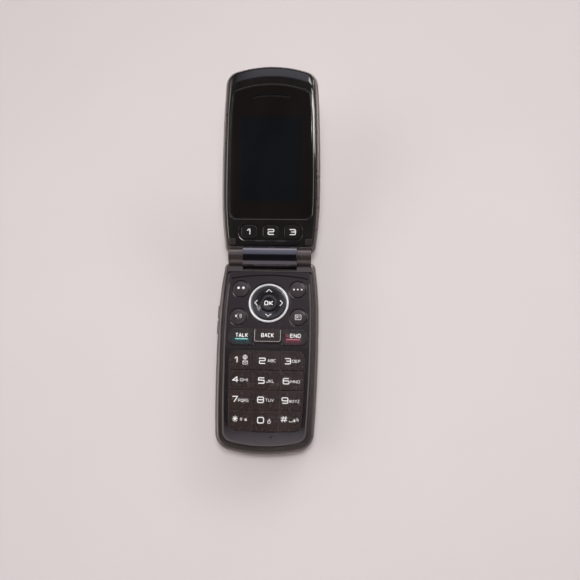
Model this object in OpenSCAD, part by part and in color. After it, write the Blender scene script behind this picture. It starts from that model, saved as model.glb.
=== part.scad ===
// Clamshell mobile phone, open for use and lying on the back of its lower half.
// The lower half (the base) is fixed. The upper half (the lid) turns about the hinge axis.
// Origin: on the surface the phone lies on, in the middle of the back. +Y runs from the chin to the hinge.

/* [Body] */
// Widest measure across the phone
body_w = 46.8; // [45.6:0.2:49]
// Hinge axis to the far end of the base
base_len = 90.3; // [89.6:0.1:93]
// Hinge axis to the far end of the lid
lid_len = 89.8; // [89.2:0.1:92]
// Thickness of the base
base_t = 12.0; // [11.9:0.1:13]
// Thickness of the lid
lid_t = 8.8; // [8.7:0.1:10]
// Gap between the two faces when the phone is shut
face_gap = 0.6; // [0.5:0.05:0.8]
// Angle between the two faces when the phone is open
open_angle = 160; // [150:1:168]
// Wall of the moulded housings
wall = 1.4; // [1.2:0.1:1.6]
// Width of the rounded rim round the face of the base
rim_w = 2.0; // [1.6:0.1:2.3]

/* [Hinge] */
// Radius of the barrel on the lid
barrel_r = 5.6; // [5.3:0.1:5.8]
// Radius of the two knuckles on the base
knuckle_r = 4.3; // [4:0.1:4.5]
// Width of one knuckle
knuckle_w = 6.7; // [5.6:0.1:7.2]
// Width left on each side, outside the knuckles
ear_w = 3.9; // [3.6:0.1:4.2]
// Radius of the spring cartridge inside the barrel
cartridge_r = 2.9; // [2.6:0.1:3.2]
// Radius of the cam shaft that turns in the cartridge
cam_shaft_r = 1.2; // [1:0.1:1.4]
// Outer radius of the hollow bush that the flat cable passes through
bush_r = 2.5; // [2.2:0.1:2.8]
// Running clearance on a radius
run_gap = 0.05; // [0.03:0.01:0.08]

/* [Navigation keys] */
// Distance from the hinge axis to the middle of the navigation key
nav_s = 22.4; // [22:0.1:23]
// Gap between the bright ring and the upper round keys
ring_gap = 1.9; // [1.6:0.1:2.4]
// Width of the bright ring
ring_w = 0.95; // [0.7:0.05:1.1]
// Radius of the OK key, as a part of the ring's radius
ok_part = 0.43; // [0.38:0.01:0.46]
// Radius of the four round keys
round_r = 3.75; // [3.4:0.05:3.9]
// Middle of an upper round key, from the widest side of the phone
upper_round_side = 10; // [9.6:0.1:10.2]
// Distance from the hinge axis to the upper pair
upper_round_s = 15.7; // [15:0.1:16]
// Middle of a lower round key, from the widest side of the phone
lower_round_side = 9.5; // [9.4:0.1:9.8]
// Distance from the hinge axis to the lower pair
lower_round_s = 29.2; // [28.8:0.1:29.6]

/* [Call keys] */
// Where the row of call keys starts, from the hinge axis
call_s = 34.7; // [34.4:0.1:35]
// Height of the call keys
call_h = 7.7; // [7:0.1:8]
// Side of the row of call keys, from the widest side of the phone
call_side = 5.2; // [5.1:0.1:6.4]
// Width of the middle call key, and of the middle number keys at their top
back_w = 13; // [11:0.2:15]

/* [Number keys] */
// Where the number keys start, from the hinge axis
pad_s = 45; // [44.6:0.1:45.6]
// Distance from the end of the number keys to the end of the chin
chin_l = 9.7; // [9.4:0.1:12]
// Side of the top row, from the widest side of the phone
pad_top_side = 6.1; // [5.9:0.1:7.4]
// Side of the bottom row, from the widest side of the phone
pad_end_side = 7.5; // [7.4:0.1:8.4]
// Gap between neighbouring keys
key_gap = 0.18; // [0.14:0.01:0.25]
// How far a key travels when it is pressed
key_travel = 0.3; // [0.2:0.05:0.3]

/* [Display] */
// Where the display window starts, from the hinge axis
lens_s = 18.3; // [18.2:0.1:19]
// Side of the display window, from the side of the lid
lens_side = 3.5; // [3.4:0.1:4]
// Far edge of the display window, from the end of the lid
lens_end = 8.7; // [8.4:0.1:9.0]
// Side of the picture area, from the widest side of the phone
lcd_side = 5.9; // [5.8:0.1:8]
// Where the picture area starts, from the hinge axis
lcd_s = 23.5; // [23:0.5:26]
// Far edge of the picture area, from the end of the lid
lcd_end = 21.3; // [20.5:0.1:26]
// Width of the slot in front of the earpiece
ear_slot_w = 16.6; // [14:0.2:18]
// Middle of the earpiece slot, from the end of the lid
ear_end = 13.6; // [13.4:0.1:14.2]
// Side of the window on the outside of the lid, from the widest side of the phone
outer_win_side = 9.9; // [9:0.1:12]
// Height of the window on the outside of the lid
outer_win_h = 19; // [17:0.5:20]
// Middle of the outer window, from the end of the lid
outer_win_end = 39.5; // [36:0.5:44]

/* [Lid keys] */
// Width of a lid key
quick_w = 7.6; // [7:0.1:8]
// Height of a lid key
quick_h = 6.2; // [6:0.1:6.6]
// Outer side of the row of lid keys, from the widest side of the phone
quick_side = 9.3; // [9.2:0.1:9.8]
// Distance from the hinge axis to the middle of the lid keys
quick_s = 12.1; // [11.9:0.1:12.3]

/* [Battery] */
// Side of the battery, from the widest side of the phone
battery_side = 7.7; // [7.6:0.1:9]
// Where the battery starts, from the hinge axis
battery_s = 38.3; // [38:0.1:42]
// Far edge of the battery, from the end of the chin
battery_end = 8; // [7.8:0.1:12]
// Thickness of the battery
battery_t = 4.4; // [4:0.1:4.5]
// Thickness of the battery cover
cover_t = 1.25; // [1.1:0.05:1.3]

/* [Side parts] */
// Radius of the headset socket's bore
jack_r = 1.3; // [1.27:0.01:1.4]
// Depth of the headset socket's bore
jack_len = 9.6; // [8:0.1:10]
// Distance from the hinge axis to the headset socket
jack_s = 16.5; // [16:0.1:17]
// Length of the volume key
volume_l = 13.6; // [11:0.2:15]
// Distance from the hinge axis to the middle of the volume key
volume_s = 30; // [26:0.5:34]
// Length of the flap over the charging port
flap_l = 11; // [9:0.2:11.4]
// Distance from the hinge axis to the middle of the flap
port_s = 63; // [58:0.5:66]

/* [Hidden] */

eps = 0.01;
// Gap beside a part that turns
side_gap = 0.15;
$fn = 48;

// --- the outline that both halves share -------------------------------------------------------------
// It is widest at wide_s from the hinge axis, and falls off along a shallow curve to each side of that.
wide_s = 30;
hinge_curve_r = 190;
end_curve_r = 850;
function half_w(s) = body_w / 2 - pow(s - wide_s, 2) / (2 * (s < wide_s ? hinge_curve_r : end_curve_r));

// Each half ends in a flat arc with two round corners: [length, end arc radius, corner radius, hinge edge].
base_start = 2.0;
lid_start = 1.8;
base_form = [base_len, 70, 8, base_start];
lid_form = [lid_len, 56, 7, lid_start];
hinge_corner_r = 3.2;
n_hinge = 4;
n_side = 8;
n_corner = 7;
n_end = 5;

function arc(c, r, a0, a1, n) =
    [for (i = [0 : n]) let (a = a0 + (a1 - a0) * i / n) c + r * [cos(a), sin(a)]];

// Right half of the outline, from the hinge edge to the middle of the far end, in [x, s].
// side is how far the long sides are drawn in, end the far end, and start is where the hinge edge lies.
function right_outline(form, side, end, start) =
    let (end_c = form[0] - form[1],
        corner_x = half_w(form[0] - form[2]) - form[2],
        corner_r = form[2] - side,
        corner_s = end_c + sqrt(pow(form[1] - end - corner_r, 2) - pow(corner_x, 2)),
        turn = atan2(corner_s - end_c, corner_x),
        start_r = max(hinge_corner_r - side, 0.5),
        start_c = [half_w(start + start_r) - side - start_r, start + start_r])
    concat(
        arc(start_c, start_r, -90, 0, n_hinge),
        [for (i = [1 : n_side - 1]) let (s = start_c.y + (corner_s - start_c.y) * i / n_side)
            [half_w(s) - side, s]],
        arc([corner_x, corner_s], corner_r, 0, turn, n_corner),
        [for (i = [1 : n_end]) let (a = turn + (90 - turn) * i / n_end)
            [(form[1] - end) * cos(a), end_c + (form[1] - end) * sin(a)]]);

function outline(form, side, end, start) =
    let (right = right_outline(form, side, end, start), n = len(right))
    concat(right, [for (i = [n - 2 : -1 : 0]) [-right[i].x, right[i].y]]);

function flip(points) = [for (i = [len(points) - 1 : -1 : 0]) points[i]];

// Skins a stack of rings that all have the same number of points.
module loft(rings) {
    n = len(rings[0]);
    m = len(rings);
    polyhedron(
        points = [for (ring = rings) for (p = ring) p],
        faces = concat(
            [[for (i = [0 : n - 1]) i]],
            [for (k = [0 : m - 2]) for (i = [0 : n - 1])
                [k * n + i, (k + 1) * n + i, (k + 1) * n + (i + 1) % n]],
            [for (k = [0 : m - 2]) for (i = [0 : n - 1])
                [k * n + i, (k + 1) * n + (i + 1) % n, k * n + (i + 1) % n]],
            [[for (i = [n - 1 : -1 : 0]) (m - 1) * n + i]]));
}

// Levels of a quarter-round edge: [height, side inset, end inset]. A swept angle of 0 is the flat side.
function edge_levels(z_flat, z_tip, side, end, n) =
    [for (i = [0 : n]) let (a = 90 * i / n)
        [z_flat + (z_tip - z_flat) * sin(a), side * (1 - cos(a)), end * (1 - cos(a))]];

// --- the base's frame ---------------------------------------------------------------------------------
// s is the distance from the hinge axis towards the chin, so y = hinge_y - s.
hinge_y = 47;
hinge_z = base_t + face_gap / 2;
function to_base(points) = flip([for (p = points) [p.x, hinge_y - p.y]]);
module on_base(x, s, z) { translate([x, hinge_y - s, z]) children(); }

// Box between two sets of [x, s, z] in the base's frame.
module base_box(x, s, z) {
    translate([x[0], hinge_y - s[1], z[0]]) cube([x[1] - x[0], s[1] - s[0], z[1] - z[0]]);
}
module base_slab(inset, start, z) {
    translate([0, 0, z[0]]) linear_extrude(z[1] - z[0])
        polygon(to_base(outline(base_form, inset, inset, start)));
}
module base_loft(levels) {
    loft([for (l = levels)
        [for (p = to_base(outline(base_form, l[1], l[2], base_start + l[1]))) [p.x, p.y, l[0]]]]);
}

// Widths that follow from the body's
knuckle_out = body_w / 2 - ear_w;
barrel_half = knuckle_out - knuckle_w - side_gap;
call_w = body_w - 2 * call_side;
battery_w = body_w - 2 * battery_side;
battery_l = base_len - battery_s - battery_end;
upper_round_x = body_w / 2 - upper_round_side;
lower_round_x = body_w / 2 - lower_round_side;
ring_r = norm([upper_round_x, nav_s - upper_round_s]) - round_r - ring_gap;
ok_r = ok_part * ring_r;
ring_clear = 0.22;
nav_r = ring_r - ring_w - ring_clear;

// --- heights in the base, from the back up --------------------------------------------------------------
seam_z = 6.5;
seam_gap = 0.06;
back_edge_z = 4.0;
back_edge_inset = 3.2;
rim_edge_h = 2.7;
floor_t = 1.6;
rail_t = 0.6;
fit_gap = 0.15;
battery_z = cover_t + rail_t + 0.25;
well_roof_z = battery_z + battery_t + 0.1;
well_roof_t = 0.7;
board_z = well_roof_z + well_roof_t + 0.05;
raised_floor_z = battery_z + 0.5;
board_t = 0.8;
board_top = board_z + board_t;
dome_h = 0.2;
mat_z = board_top + dome_h + 0.1;
mat_t = 0.4;
mat_start = 9.4;
nub_z = board_top + dome_h + key_travel + 0.05;
cap_z = mat_z + mat_t + key_travel + 0.1;
plate_t = 1.3;
plate_z = base_t - 0.2 - plate_t;
ledge_t = 1.0;
recess_d = 0.3;
plate_top = plate_z + plate_t;
field_z = plate_top - recess_d;
key_top = field_z + 0.5;
flange_top = plate_z - 0.12;

plate_inset = rim_w + 1.4;
plate_start = 7.2;
// the trough that the barrel turns in
trough_gap = 0.9;
notch_s = barrel_r + trough_gap;
shell_inner_s = notch_s + wall;

// --- hinge ---------------------------------------------------------------------------------------------
barrel_len = 2 * barrel_half;
knuckle_x = barrel_half + side_gap;
blind_wall = 1.5;
socket_half = 1.55;
socket_x = knuckle_out - blind_wall;
shaft_len = 3.6;
bush_in = 4.2;
bush_hole_r = bush_r - 0.8;
// chamber of the flat cable, between the bush and the cartridge
chamber_l = 8;
chamber_r = 3.6;
chamber_x = -barrel_half + bush_in + side_gap;
cable_x = [chamber_x + 0.8, chamber_x + 6.8];
cable_t = 0.25;
cable_n = -3.22;
cartridge_x = chamber_x + chamber_l + 0.2;

// Point where the tangent from p touches a circle of radius r at the origin, on the side given by turn.
function tangent_point(p, r, turn) =
    let (d = norm(p), a = atan2(p.y, p.x) + turn * acos(r / d)) r * [cos(a), sin(a)];

module along_x(x, r, len, fn = 48) {
    translate([x, 0, 0]) rotate([0, 90, 0]) cylinder(h = len, r = r, $fn = fn);
}
module on_hinge_axis() { translate([0, hinge_y, hinge_z]) children(); }

// Round trough under the barrel, through both housings
module barrel_trough() { on_hinge_axis() along_x(-knuckle_x, notch_s, 2 * knuckle_x); }

// Side profile of a knuckle and the neck that carries it, in [toward the lid, up] from the hinge axis.
module knuckle(x) {
    foot_s = base_start + 0.6;
    drop = hinge_z - seam_z - seam_gap;
    neck_drop = 1.9;
    back = tangent_point([-foot_s, -drop], knuckle_r, 1);
    front_s = notch_s + 1.2;
    on_hinge_axis() translate([x, 0, 0]) rotate([90, 0, 90]) linear_extrude(knuckle_w) union() {
        circle(knuckle_r);
        polygon([[-foot_s, -drop], back, [0, 0], [-front_s, -neck_drop], [-front_s, -drop]]);
    }
}

// --- rear housing ---------------------------------------------------------------------------------------
well_gap = 0.3;
well_s0 = battery_s - well_gap;
well_half = battery_w / 2 + well_gap;
well_s1 = battery_s + battery_l + well_gap;
well_wall = 0.9;
cover_lap = 4;
cover_s = well_s0 - cover_lap;
cover_half = well_half + 1;
rail_w = 0.8;
rail_start = 2;
rail_half = cover_half + rail_w;
// the hinge-end pair by the side walls, and the chin pair under the battery cover
screw_side = [5.2, 11.8];
screw_s = [10.6, base_len - 4.4];
screw_places = [for (end = [0, 1], side = [-1, 1]) [side * (body_w / 2 - screw_side[end]), screw_s[end]]];
screw_head_z = [0.5, 0.5, battery_z, battery_z];
screw_top = seam_z + 1.8;
boss_top = screw_top + 0.4;
boss_r = 2.15;
screw_r = 0.8;
head_r = 1.6;
head_h = 0.9;
jack_z = 4.6;
jack_recess = 0.5;
jack_mouth_x = half_w(jack_s) - jack_recess;
sleeve_r = jack_r + 0.45;
speaker_place = [-3.5, 21.5];
speaker_r = 7.5;
speaker_t = 3.2;
slot_pitch = 2.2;
slot_half = 3.4;
slot_r = 0.5;
port_z = [3.3, 6.3];
flap_t = 1.2;
volume_z = [7.1, 9.1];

rear_levels = concat(flip(edge_levels(back_edge_z, 0, back_edge_inset, back_edge_inset, 5)), [[seam_z, 0, 0]]);

// Opening for the flap, with a round pocket for its hinge edge at the end towards the chin.
flap_s = [port_s - flap_l / 2, port_s + flap_l / 2];
flap_pivot_r = 0.7;
flap_pivot_x = half_w(flap_s[1]) - flap_pivot_r - 0.05;
module flap_opening() {
    base_box([flap_pivot_x - 3.4, body_w], [flap_s[0] - fit_gap, flap_s[1]],
        [port_z[0] - fit_gap, port_z[1] + 1]);
    on_base(flap_pivot_x, flap_s[1], port_z[0] - fit_gap) cylinder(h = 5, r = flap_pivot_r + fit_gap);
    base_box([flap_pivot_x, body_w], [flap_s[1], flap_s[1] + flap_pivot_r + fit_gap],
        [port_z[0] - fit_gap, port_z[1] + 1]);
}

module rear_housing() {
    color([0.13, 0.13, 0.14]) difference() {
        union() {
            difference() {
                base_loft(rear_levels);
                base_slab(wall, shell_inner_s, [floor_t, seam_z + 1]);
                base_box([-knuckle_x, knuckle_x], [base_start + wall, shell_inner_s + eps],
                    [floor_t, hinge_z - notch_s - wall]);
            }
            // floor over the rails of the battery cover
            base_slab(wall - 0.2, cover_s - 1.2, [floor_t - eps, raised_floor_z]);
            // battery well
            base_box([-well_half - well_wall, well_half + well_wall], [well_s0 - well_wall, well_s1 + well_wall],
                [floor_t - eps, well_roof_z + well_roof_t]);
            for (i = [0 : 3])
                on_base(screw_places[i].x, screw_places[i].y, floor_t - eps)
                    cylinder(h = seam_z - floor_t, r = boss_r);
        }
        base_box([-well_half, well_half], [well_s0, well_s1], [-1, well_roof_z]);
        for (x = contact_x)
            base_box([x - 0.8, x + 0.8], [well_s0 - 2, well_s0 + 1], [battery_z + 1.1, battery_z + 2.7]);
        // seat of the battery cover and the rails it slides in
        base_box([-cover_half, cover_half], [cover_s, base_len + 2], [-1, cover_t + 0.05]);
        base_box([-rail_half, rail_half], [cover_s + rail_start, base_len + 2],
            [cover_t - eps, cover_t + rail_t + 0.1]);
        barrel_trough();
        for (i = [0 : 3]) on_base(screw_places[i].x, screw_places[i].y, 0) {
            translate([0, 0, -1]) cylinder(h = screw_head_z[i] + head_h + 1.05, r = head_r + 0.25);
            translate([0, 0, -1]) cylinder(h = seam_z + 2, r = screw_r + 0.1);
        }
        // slots in front of the loudspeaker
        for (i = [-1 : 1]) on_base(speaker_place.x, speaker_place.y + slot_pitch * i, -1) hull()
            for (side = [-1, 1]) translate([slot_half * side, 0, 0])
                cylinder(h = floor_t + 2, r = slot_r, $fn = 24);
        on_base(jack_mouth_x - 3, jack_s, jack_z) along_x(0, sleeve_r + 0.1, 6);
        flap_opening();
    }
}

// --- battery cover: slides off towards the chin ---------------------------------------------------------
grip_count = 4;
module battery_cover() {
    plate_half = cover_half - fit_gap;
    tongue_half = rail_half - fit_gap;
    color([0.13, 0.13, 0.14]) difference() {
        intersection() {
            base_loft(rear_levels);
            union() {
                base_box([-plate_half, plate_half], [cover_s + fit_gap, base_len + 1], [-1, cover_t]);
                base_box([-tongue_half, tongue_half], [cover_s + rail_start + fit_gap, base_len + 1],
                    [cover_t - 0.3, cover_t + rail_t]);
            }
        }
        base_box([-rail_half, -plate_half], [cover_s, base_len + 1], [-1, cover_t + 0.1]);
        base_box([plate_half, rail_half], [cover_s, base_len + 1], [-1, cover_t + 0.1]);
        base_box([-cover_half + 2, cover_half - 2], [cover_s + 3.5, base_len - 3], [cover_t, cover_t + 1]);
        for (i = [0 : grip_count - 1])
            base_box([-5, 5], [cover_s + 4 + 1.6 * i, cover_s + 4.7 + 1.6 * i], [-1, 0.35]);
    }
}

// --- front housing --------------------------------------------------------------------------------------
front_levels = concat([[seam_z + seam_gap, 0, 0]], edge_levels(base_t - rim_edge_h, base_t, rim_w, rim_w, 5));
groove_d = 1.3;
ledge_inset = plate_inset + 1.3;

module front_housing() {
    color([0.16, 0.16, 0.17]) difference() {
        union() {
            difference() {
                base_loft(front_levels);
                base_slab(wall, shell_inner_s, [seam_z - 1, plate_z - ledge_t]);
                barrel_trough();
                base_slab(ledge_inset, plate_start + 1.2, [seam_z, base_t + 1]);
                base_slab(plate_inset - 0.1, plate_start - 0.1, [plate_z, base_t + 1]);
                base_slab(rim_w + 0.05, plate_start - 0.1, [base_t - groove_d, base_t + 1]);
            }
            for (x = [knuckle_x, -knuckle_out]) knuckle(x);
            intersection() {
                for (p = screw_places) hull() {
                    on_base(p.x, p.y, seam_z + seam_gap) cylinder(h = boss_top - seam_z - seam_gap, r = boss_r);
                    if (p.y < nav_s) on_base(p.x + sign(p.x) * 2, p.y, seam_z + seam_gap)
                        cylinder(h = boss_top - seam_z - seam_gap, r = boss_r);
                    else on_base(p.x, p.y + 2, seam_z + seam_gap)
                        cylinder(h = boss_top - seam_z - seam_gap, r = boss_r);
                }
                base_slab(wall / 2, base_start + wall / 2, [seam_z, base_t]);
            }
        }
        // seat of the hinge cam on the right, bore of the bush on the left
        on_hinge_axis() {
            translate([0, -socket_half - fit_gap / 3, -socket_half - fit_gap / 3])
                cube([socket_x, 2 * (socket_half + fit_gap / 3), 2 * (socket_half + fit_gap / 3)]);
            along_x(-socket_x, bush_r + 0.02, socket_x);
        }
        for (p = screw_places) on_base(p.x, p.y, seam_z)
            cylinder(h = boss_top - seam_z - 0.2, r = screw_r + 0.02);
        // slot for the volume key
        side_pill([-body_w, volume_back + 0.5], volume_l / 2 + 0.3, fit_gap);
    }
}

// --- keypad ---------------------------------------------------------------------------------------------
call_r = 3.4;
pad_corner_r = 3.4;
rows = 4;
pad_end_s = base_len - chin_l;
row_h = (pad_end_s - pad_s) / rows;
function pad_half(s) = body_w / 2 - pad_top_side
    - (pad_end_side - pad_top_side) * (s - pad_s) / (pad_end_s - pad_s);
// half the width of the middle column
function middle_half(s) = back_half * pad_half(s) / pad_half(pad_s);
round_places = [[-upper_round_x, upper_round_s], [upper_round_x, upper_round_s],
    [-lower_round_x, lower_round_s], [lower_round_x, lower_round_s]];
columns = [-1, 0, 1];
call_mid_s = call_s + call_h / 2;
mic_place = [3, pad_end_s + 2.4];

back_half = back_w / 2;
back_h = call_h - 1.1;
back_corner_r = 1.5;
module call_ends_2d(grow) {
    difference() {
        on_plan(0, call_mid_s) offset(r = call_r + grow, $fn = 32)
            square([call_w - 2 * call_r, call_h - 2 * call_r], center = true);
        on_plan(-back_half + key_gap / 2 + grow, call_s + call_h + 1)
            square([back_w - key_gap - 2 * grow, call_h + 2]);
    }
}
// The middle key hangs from the top of the row and ends short of it, with two round corners.
module back_2d(grow) {
    r = back_corner_r + grow;
    half = back_half - key_gap / 2 + grow;
    on_plan(0, call_s - grow) union() {
        translate([-half, -back_h - 2 * grow + r]) square([2 * half, back_h + 2 * grow - r]);
        translate([-half + r, -back_h - 2 * grow]) square([2 * (half - r), 2 * r]);
        for (side = [-1, 1]) translate([side * (half - r), -back_h - 2 * grow + r]) circle(r, $fn = 32);
    }
}
module pad_2d(grow) {
    hull() for (end = [0, 1], side = [-1, 1]) {
        s = end == 0 ? pad_s + pad_corner_r : pad_end_s - pad_corner_r;
        on_plan(side * (pad_half(s) - pad_corner_r), s) circle(pad_corner_r + grow, $fn = 32);
    }
}
module on_plan(x, s) { translate([x, hinge_y - s]) children(); }

function column_x(s) = (pad_half(s) + middle_half(s)) / 2;

// Shallow field that the keys stand in. Its upper edge is one long arc.
field_arc_r = 95;
field_top_s = 9.1;
step_s = call_s + call_h + 0.9;
step_d = 0.35;
step_slope = 0.5;
field_slope = 0.6;
module field_sides_2d() { polygon(to_base(outline(base_form, plate_inset + 0.9, 9.2, plate_start))); }
module field_2d() {
    intersection() {
        field_sides_2d();
        on_plan(0, field_top_s + field_arc_r) circle(field_arc_r, $fn = 96);
    }
}

module keypad_plate() {
    color([0.15, 0.14, 0.15]) difference() {
        base_slab(plate_inset, plate_start, [plate_z, plate_top]);
        // the field, whose upper edge slopes down into it
        translate([0, 0, field_z]) linear_extrude(2) field_2d();
        intersection() {
            translate([0, 0, field_z]) linear_extrude(2) field_sides_2d();
            on_base(0, field_top_s + field_arc_r, field_z)
                cylinder(h = 2 * recess_d, r1 = field_arc_r, r2 = field_arc_r + 2 * field_slope, $fn = 96);
        }
        for (p = round_places) on_base(p.x, p.y, plate_z - 1) cylinder(h = 4, r = round_r + 0.12);
        on_base(0, nav_s, plate_z - 1) cylinder(h = 4, r = ring_r - ring_w + 0.3);
        on_base(0, nav_s, plate_z + 0.4) cylinder(h = 4, r = ring_r + 0.03);
        translate([0, 0, plate_z - 1]) linear_extrude(4) {
            call_ends_2d(0.12);
            back_2d(0.12);
        }
        // the number keys stand in a second, deeper step of the field
        intersection() {
            translate([0, 0, field_z - step_d]) linear_extrude(2) field_2d();
            translate([-body_w, hinge_y, 0]) rotate([90, 0, 90]) linear_extrude(2 * body_w)
                polygon([[-step_s, base_t], [-step_s, field_z], [-step_s - step_slope, field_z - step_d],
                    [-base_len, field_z - step_d], [-base_len, base_t]]);
        }
        // chamfers round the ring and round the four round keys
        on_base(0, nav_s, field_z - 0.25) cylinder(h = 0.5, r1 = ring_r + 0.25, r2 = ring_r + 1.25);
        for (p = round_places) on_base(p.x, p.y, field_z - 0.25)
            cylinder(h = 0.5, r1 = round_r + 0.15, r2 = round_r + 1.05);
        translate([0, 0, plate_z - 1]) linear_extrude(4) pad_2d(0.12);
        on_base(mic_place.x, mic_place.y, plate_z - 1) cylinder(h = 4, r = 0.45);
    }
}

module nav_trim_ring() {
    color([0.85, 0.85, 0.86]) on_base(0, nav_s, 0) rotate_extrude($fn = 96)
        polygon(concat(
            [[ring_r, plate_z + 0.42], [ring_r, field_z + 0.15]],
            [for (i = [1 : 5]) let (a = 180 * i / 6)
                [ring_r - ring_w / 2 + ring_w / 2 * cos(a), field_z + 0.15 + 0.35 * sin(a)]],
            [[ring_r - ring_w, field_z + 0.15], [ring_r - ring_w, plate_z + 0.42]]));
}

// The rocker turns about X for up and down. The key turns about Y on it for left and right.
nub_r = 1.1;
nav_nub_place = (nav_r + ok_r) / 2;
ok_hole_r = ok_r + 0.25;
nav_dish = 0.35;
nav_band = nav_r - ok_hole_r;
rocker_t = 0.3;
rocker_top = cap_z - 0.15;
nav_nub_r = 0.8;
arm_half = 1.1;
hub_r = 2.6;
module nav_rocker() {
    arm = nav_nub_place + arm_half;
    color([0.75, 0.74, 0.7]) on_base(0, nav_s, rocker_top - rocker_t) difference() {
        union() {
            translate([-arm_half, -arm, 0]) cube([2 * arm_half, 2 * arm, rocker_t]);
            cylinder(h = rocker_t, r = hub_r);
            for (side = [-1, 1]) translate([0, side * nav_nub_place, nub_z - rocker_top + rocker_t])
                cylinder(h = rocker_top - nub_z, r = nav_nub_r);
        }
        translate([0, 0, -2]) cylinder(h = 4, r = nub_r + 0.3);
    }
}
module nav_key() {
    color([0.05, 0.05, 0.06]) union() {
        on_base(0, nav_s, 0) rotate_extrude($fn = 96)
            polygon([[ok_hole_r, cap_z], [nav_r, cap_z], [nav_r, key_top - 0.25], [nav_r - 0.5, key_top + 0.02],
                [ok_hole_r + nav_band * 0.5, key_top - 0.05], [ok_hole_r + nav_band * 0.28, key_top - nav_dish],
                [ok_hole_r, key_top - 0.5]]);
        for (side = [-1, 1]) on_base(side * nav_nub_place, nav_s, nub_z)
            cylinder(h = cap_z - nub_z + eps, r = nav_nub_r);
    }
}

// A round key: a cap with a domed top, a flange under the plate and a nub that presses its dome.
module round_cap(r, top, dome, flange, under = cap_z) {
    rise_r = (r * r + dome * dome) / (2 * dome);
    rotate_extrude($fn = 72) polygon(concat(
        [[0, nub_z], [nub_r, nub_z], [nub_r, under], [r + flange, under], [r + flange, flange_top],
            [r, flange_top],
            [r, top - dome - 0.1], [r - 0.1, top - dome]],
        [for (i = [1 : 6]) let (x = (r - 0.1) * (1 - i / 6)) [x, top - rise_r + sqrt(rise_r * rise_r - x * x)]]));
}
module round_key(i) {
    color([0.2, 0.19, 0.2]) on_base(round_places[i].x, round_places[i].y, 0)
        round_cap(round_r, key_top, 0.35, 0.45);
}
module ok_key() {
    color([0.06, 0.06, 0.07]) on_base(0, nav_s, 0) difference() {
        round_cap(ok_r, key_top - 0.1, 0.12, 0, rocker_top + key_travel + 0.25);
        translate([0, 0, key_top + 8.55]) sphere(9.1, $fn = 96);
    }
}

// Side profile of a flat key: its top falls towards the chin, so each row shows a fine step.
module key_profile(s0, s1, x, fall) {
    translate([x[0], 0, 0]) rotate([90, 0, 90]) linear_extrude(x[1] - x[0])
        polygon([[hinge_y - s1, cap_z], [hinge_y - s0, cap_z],
            [hinge_y - s0, key_top], [hinge_y - s1, key_top - fall]]);
}
module key_nub(x, s) { on_base(x, s, nub_z) cylinder(h = cap_z - nub_z + eps, r = nub_r); }

call_nub_x = (call_w / 2 + back_half) / 2;
module call_key(side) {
    x = side < 0 ? [-call_w, -back_half - key_gap / 2] : [back_half + key_gap / 2, call_w];
    union() {
        intersection() {
            translate([0, 0, cap_z]) linear_extrude(4) call_ends_2d(0);
            key_profile(call_s - 1, call_s + call_h + 1, x, 0.12);
        }
        key_nub(side * call_nub_x, call_mid_s);
    }
}
module talk_key() { color([0.17, 0.2, 0.2]) call_key(-1); }
module end_key() { color([0.22, 0.17, 0.18]) call_key(1); }
// A raised lip runs round its two sides and its lower edge.
module back_key() {
    color([0.12, 0.12, 0.13]) union() {
        difference() {
            translate([0, 0, cap_z]) linear_extrude(key_top + 0.22 - cap_z) back_2d(0);
            translate([0, 0, key_top]) linear_extrude(1) back_2d(-0.45);
            base_box([-back_half + 0.54, back_half - 0.54], [call_s - 1, call_s + 1], [key_top, key_top + 1]);
        }
        key_nub(0, call_mid_s);
    }
}

// One number key. column is -1, 0 or 1, and row counts from the hinge.
row_fall = 0.28;
module number_key(column, row) {
    s0 = pad_s + row * row_h + (row == 0 ? -1 : key_gap / 2);
    s1 = pad_s + (row + 1) * row_h + (row == rows - 1 ? 1 : -key_gap / 2);
    left = [for (s = [s0, s1]) (column < 0 ? -pad_half(s) - 1 : (2 * column - 1) * middle_half(s)) + key_gap / 2];
    right = [for (s = [s0, s1]) (column > 0 ? pad_half(s) + 1 : (2 * column + 1) * middle_half(s)) - key_gap / 2];
    mid_s = pad_s + (row + 0.5) * row_h;
    color([0.17, 0.16, 0.16]) union() {
        intersection() {
            translate([0, 0, cap_z]) linear_extrude(4) pad_2d(0);
            translate([0, 0, cap_z - 1]) linear_extrude(6)
                polygon(to_base([[left[0], s0], [right[0], s0], [right[1], s1], [left[1], s1]]));
            key_profile(s0, s1, [-body_w, body_w], row_fall);
        }
        key_nub(column * column_x(mid_s), mid_s);
        if (column == 0 && row == 1) homing_ridge(s0);
    }
}
// Low curved ridge near the upper edge of the middle key, to find it by touch.
ridge_h = 0.25;
module homing_ridge(s0) {
    r = 3.6;
    intersection() {
        on_base(0, s0 + 0.7 + r, key_top - row_fall) rotate_extrude($fn = 72)
            polygon([[r - 0.3, 0], [r + 0.3, 0], [r + 0.15, row_fall + ridge_h], [r - 0.15, row_fall + ridge_h]]);
        base_box([-2.5, 2.5], [s0 + 0.3, s0 + 2.2], [key_top - 1, key_top + 1]);
    }
}
number_places = [for (row = [0 : rows - 1]) let (s = pad_s + (row + 0.5) * row_h)
    for (column = columns) [column * column_x(s), s]];
call_places = [for (x = [-call_nub_x, 0, call_nub_x]) [x, call_mid_s]];
nav_places = [for (p = [[0, 1], [0, -1], [1, 0], [-1, 0]]) [p.x * nav_nub_place, nav_s + p.y * nav_nub_place]];

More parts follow.
